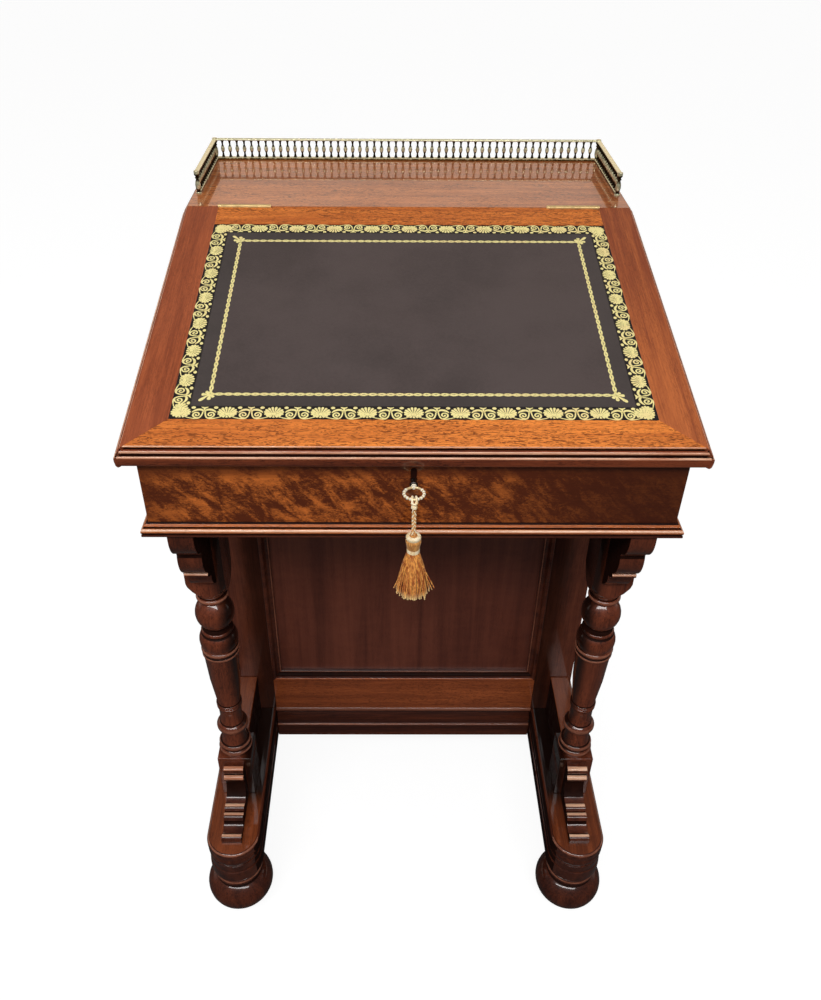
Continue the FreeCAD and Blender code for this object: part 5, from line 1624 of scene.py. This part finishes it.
class DAVENPORT_OT_tassel(bpy.types.Operator):
    """Doubled twisted cord looped on the bow, the bound head and the skirt of silk threads"""

    bl_idname = "davenport.tassel"
    bl_label = "Tassel"

    def execute(self, context):
        pale = silk_thread("pale_silk", (1.0, 0.90, 0.66), (0.82, 0.58, 0.28))
        golden = silk_thread("golden_silk", (0.90, 0.44, 0.12), (0.42, 0.15, 0.035))
        self.loop(pale)
        self.hanging_cord((pale, golden), self.head(pale, golden))
        self.skirt()
        return {"FINISHED"}

    def loop(self, silk):
        wire, back = BOW_TIP_Y + 1.4 - CORD_Y, BOW_TIP_Y + 3.4 - CORD_Y
        low = -4.6
        lines = [[
            (side * 0.9, 0, low), (side * 1.3, -0.1, -2.2), (side * 2.0, -0.3, -0.2), (side * 2.1, 1.0, 1.5),
            (side * 1.9, wire + 0.3, 2.1), (side * 1.7, back, 0.8), (side * 1.2, back + 0.2, -1.6),
            (side * 0.6, wire + 0.4, low + 1.6),
        ] for side in SIDES]
        lines.append([
            (-2.9, -0.2, -0.8), (-1.5, -1.2, -2.0), (0, -1.3, -2.5), (1.5, -1.2, -2.0), (2.9, -0.2, -0.8),
            (2.0, 1.0, -0.2),
        ])
        lines = [[(x, CORD_Y + y, KEY_Z + z) for x, y, z in line] for line in lines]
        finished(tube("cord_loop", lines, 1.1), silk, "cord_knot", body="key", slot="silk")
        band = turned(
            "cord_whipping", (1.8, -7.7), *bead(-7.5, -6.1, 2.1, 2.9), *bead(-6.0, -4.5, 2.1, 2.9),
            at=(0, CORD_Y), low=KEY_Z, steps=24)
        finished(band, silk, "cord_collar", body="tassel_collar", slot="silk")

    def hanging_cord(self, silks, head):
        fall = CORD_TOP - HEAD_TOP
        track = route([(0, CORD_Y, CORD_TOP - fall * part) for part in (0.0, 0.25, 0.5, 0.75, 1.0)])
        pairs = [twisted(track, side * 1.15, 2, 0.62, side * 5.5) for side in SIDES]
        strands = []
        for index, thread in enumerate(silks):
            strands.append(tube("cord_strand", [pair[index] for pair in pairs], 0.68, 1))
            strands[-1].data.materials.append(thread)
        cord = finished(joined("tassel_cord_twisted", strands), None, "tassel_cord", body="tassel", slot="silk")

    def head(self, pale, golden):
        at = (0, CORD_Y)
        cap = turned(
            "tassel_cap", (2.6, -3.6), ((5.0, -5.6), (7.1, -3.4)), ((6.6, -0.6), (4.9, 0)),
            ((3.4, -0.6), (2.6, -2.4)), at=at, low=HEAD_TOP, steps=36)
        body = turned(
            "tassel_body", (5.2, 3.6), ((6.5, 8.0), (7.3, 13.0)), ((7.0, 17.4), (4.6, HEAD_TOP - 2.0 - HEAD_LOW)),
            at=at, low=HEAD_LOW, steps=36)
        turns = [bead(1.6 + 1.5 * step, 3.1 + 1.5 * step, 5.6, 6.3) for step in range(3)]
        neck = turned(
            "tassel_neck", (5.2, 1.4), *[move for turn in turns for move in turn], at=at, low=HEAD_LOW, steps=36)
        pieces = [
            finished(piece, silk, "tassel_head", body="tassel", slot="silk")
            for piece, silk in ((cap, pale), (body, golden), (neck, pale))]
        stained(cap, golden, lambda x, y, z: hypot(x, y - CORD_Y) < 3.6)
        return pieces

    def skirt(self):
        count, neck = sizes().strands, 5.4
        place = Random(11)
        lines = []
        for index in range(count):
            turn = 2 * pi * index * 0.381966
            layer = 1.0 - 0.55 * (index / count) ** 1.5
            reach = 17.0 * layer * place.uniform(0.93, 1.04)
            low = SKIRT_LOW + place.uniform(-0.5, 2.6) + 3.0 * (1 - layer) - 1.4 * cos(turn + pi / 2)
            root = neck * (0.35 + 0.65 * layer)
            sway = place.uniform(-0.22, 0.22)
            line = []
            for part in (0.0, 0.22, 0.5, 0.78, 1.0):
                away = root + (reach - root) * (part ** 0.82) + (0.8 * sin(pi * part) * sway)
                angle = turn + 0.05 * sway * sin(2.2 * pi * part)
                height = HEAD_LOW + 2.2 + (low - HEAD_LOW - 2.2) * part
                line.append((away * cos(angle), CORD_Y + away * sin(angle), height))
            lines.append(line)
        strays = ((-0.35, 22.5, 617.5), (-0.22, 19.8, 612.0), (-0.9, 19.0, 608.5), (3.3, 18.6, 613.0))
        for turn, reach, low in strays:
            lines.append([
                (away * cos(turn), CORD_Y + away * sin(turn), HEAD_LOW + (low - HEAD_LOW) * part)
                for part, away in ((0.0, neck), (0.3, 8.0), (0.6, 13.0 * reach / 20), (1.0, reach))])
        threads = tube("tassel_threads", lines, 0.55, 1)
        core = turned(
            "tassel_core", (13.0, SKIRT_LOW + 5.0), ((9.0, 634.0), (5.2, HEAD_LOW + 1.6)), at=(0, CORD_Y), steps=48)
        silk = silk_thread("skirt_silk", (1.0, 0.46, 0.10), (0.40, 0.085, 0.018), SKIRT_LOW - 1)
        # Painted shade: the core under the threads is dark silk, for the shade between them.
        shade = silk_thread("inner_silk", (0.26, 0.09, 0.02), (0.10, 0.03, 0.008))
        for piece, thread in ((threads, silk), (core, shade)):
            finished(piece, thread, "tassel_skirt", body="tassel", slot="silk")


# ---------------- camera and studio


class DAVENPORT_OT_studio(bpy.types.Operator):
    """Pale floor, soft lights and the camera"""

    bl_idname = "davenport.studio"
    bl_label = "Studio"

    def execute(self, context):
        scene, studio = context.scene, context.scene.davenport_studio
        floor = primitive("plane", "studio_floor", size=40, location=(0, 0, 0))
        floor.data.materials.append(self.floor_paint())
        self.surround(scene, studio.surround)
        self.lamp("key_light", (-0.25, -1.55, 2.15), (0.0, -0.1, 0.6), 2.5, 0.36, studio.key_power)
        top = self.lamp("top_light", (0.0, 0.35, 3.0), (0.0, 0.1, 0.5), 2.2, 1.4, studio.top_power)
        top.visible_glossy = False
        self.camera(scene)
        scene.view_settings.view_transform = "Standard"
        return {"FINISHED"}

    def floor_paint(self):
        """Pale paper that stays white to the eye round the desk's own shadow."""
        paint = Paint("studio_paper")
        camera, glossy, through = (
            put(paint.tree, "LightPath", out=f"Is {kind} Ray") for kind in ("Camera", "Glossy", "Transmission"))
        colour = paint.place.noise(40.0).blend((0.20, 0.20, 0.20), (0.22, 0.22, 0.22))
        colour = glossy.blend(colour, (0.035, 0.034, 0.033))
        seen = camera + glossy * 0.02 + through
        glow = put(paint.tree, "Emission", {"Color": (1, 1, 1, 1), "Strength": seen * 0.89})
        both = put(paint.tree, "AddShader", {0: Wire(paint.surface.outputs["BSDF"]), 1: glow})
        feed(paint.output.inputs["Surface"], both)
        return paint.made(colour, 0.9, more={"Specular IOR Level": 0.1})

    def surround(self, scene, strength):
        """White to the eye; to the desk, a dim room with a pale wall behind."""
        scene.world = bpy.data.worlds.new("pale_room")
        scene.world.use_nodes = True
        tree = scene.world.node_tree
        tree.nodes.clear()
        camera, glossy, through = (
            put(tree, "LightPath", out=f"Is {kind} Ray") for kind in ("Camera", "Glossy", "Transmission"))
        toward = put(tree, "TexCoord", out="Generated").parts()
        wall = toward["Y"].spread(-0.1, 0.5) * toward["Z"].spread(0.38, 0.62, 1.0, 0.0)
        level = glossy.level(strength, wall * 0.75 + 0.07)
        level = camera.math("MAXIMUM", through).level(level, 1.0)
        tint = (glossy * wall).blend((1, 1, 1), (1.0, 0.77, 0.62))
        output = tree.nodes.new("ShaderNodeOutputWorld")
        feed(output.inputs["Surface"], put(tree, "Background", {"Color": tint, "Strength": level}))

    def lamp(self, name, place, target, wide, tall, power):
        deselect()
        bpy.ops.object.light_add(type="AREA", location=place)
        lamp = named(name)
        lamp.data.shape = "RECTANGLE"
        lamp.data.size = wide
        lamp.data.size_y = tall
        lamp.data.energy = power
        lamp.rotation_euler = (Vector(target) - Vector(place)).to_track_quat("-Z", "Y").to_euler()
        return lamp

    def camera(self, scene):
        deselect()
        bpy.ops.object.camera_add(location=(0, 0, 0))
        camera = named("viewpoint")
        camera.data.lens = 32.142
        camera.data.sensor_width = 36.0
        camera.data.shift_x = 0.0169
        camera.data.clip_start = 0.01
        place, roll = (-0.0235, -0.9522, 1.2110), 0.0067
        forward = Vector((0.0055, 0.7974, -0.6034)).normalized()
        level = forward.cross(Vector((0, 0, 1))).normalized()
        right = (cos(roll) * level + sin(roll) * level.cross(forward)).normalized()
        turn = Matrix((right, right.cross(forward), -forward)).transposed().to_4x4()
        camera.matrix_world = Matrix.Translation(place) @ turn
        scene.camera = camera


# ---------------- panel and start


class DAVENPORT_PT_panel(bpy.types.Panel):
    """Lists the davenport's settings and steps"""

    bl_idname = "DAVENPORT_PT_panel"
    bl_label = "Davenport Desk"
    bl_space_type = "VIEW_3D"
    bl_region_type = "UI"
    bl_category = "Davenport"

    def draw(self, context):
        for name in GROUPS:
            box, group = self.layout.box(), getattr(context.scene, name)
            for key in group.__annotations__:
                box.prop(group, key)
        for step in STEPS:
            self.layout.operator(step.bl_idname)


STEPS = (
    DAVENPORT_OT_slope, DAVENPORT_OT_flat_top, DAVENPORT_OT_leather, DAVENPORT_OT_gilding,
    DAVENPORT_OT_writing_box, DAVENPORT_OT_pedestal, DAVENPORT_OT_drawers, DAVENPORT_OT_columns,
    DAVENPORT_OT_brackets, DAVENPORT_OT_base, DAVENPORT_OT_gallery, DAVENPORT_OT_key, DAVENPORT_OT_tassel,
    DAVENPORT_OT_studio,
)
GROUPS = {
    "davenport_sizes": DavenportSizes,
    "davenport_finish": DavenportFinish,
    "davenport_studio": DavenportStudio,
}


def register():
    for entry in (*GROUPS.values(), *STEPS, DAVENPORT_PT_panel):
        bpy.utils.register_class(entry)
    for name, group in GROUPS.items():
        setattr(bpy.types.Scene, name, PointerProperty(type=group))


def unregister():
    for name in GROUPS:
        delattr(bpy.types.Scene, name)
    for entry in (DAVENPORT_PT_panel, *reversed(STEPS), *reversed(GROUPS.values())):
        bpy.utils.unregister_class(entry)


def main():
    register()
    for step in STEPS:
        group, name = step.bl_idname.split(".")
        getattr(getattr(bpy.ops, group), name)()


if __name__ == "__main__":
    main()
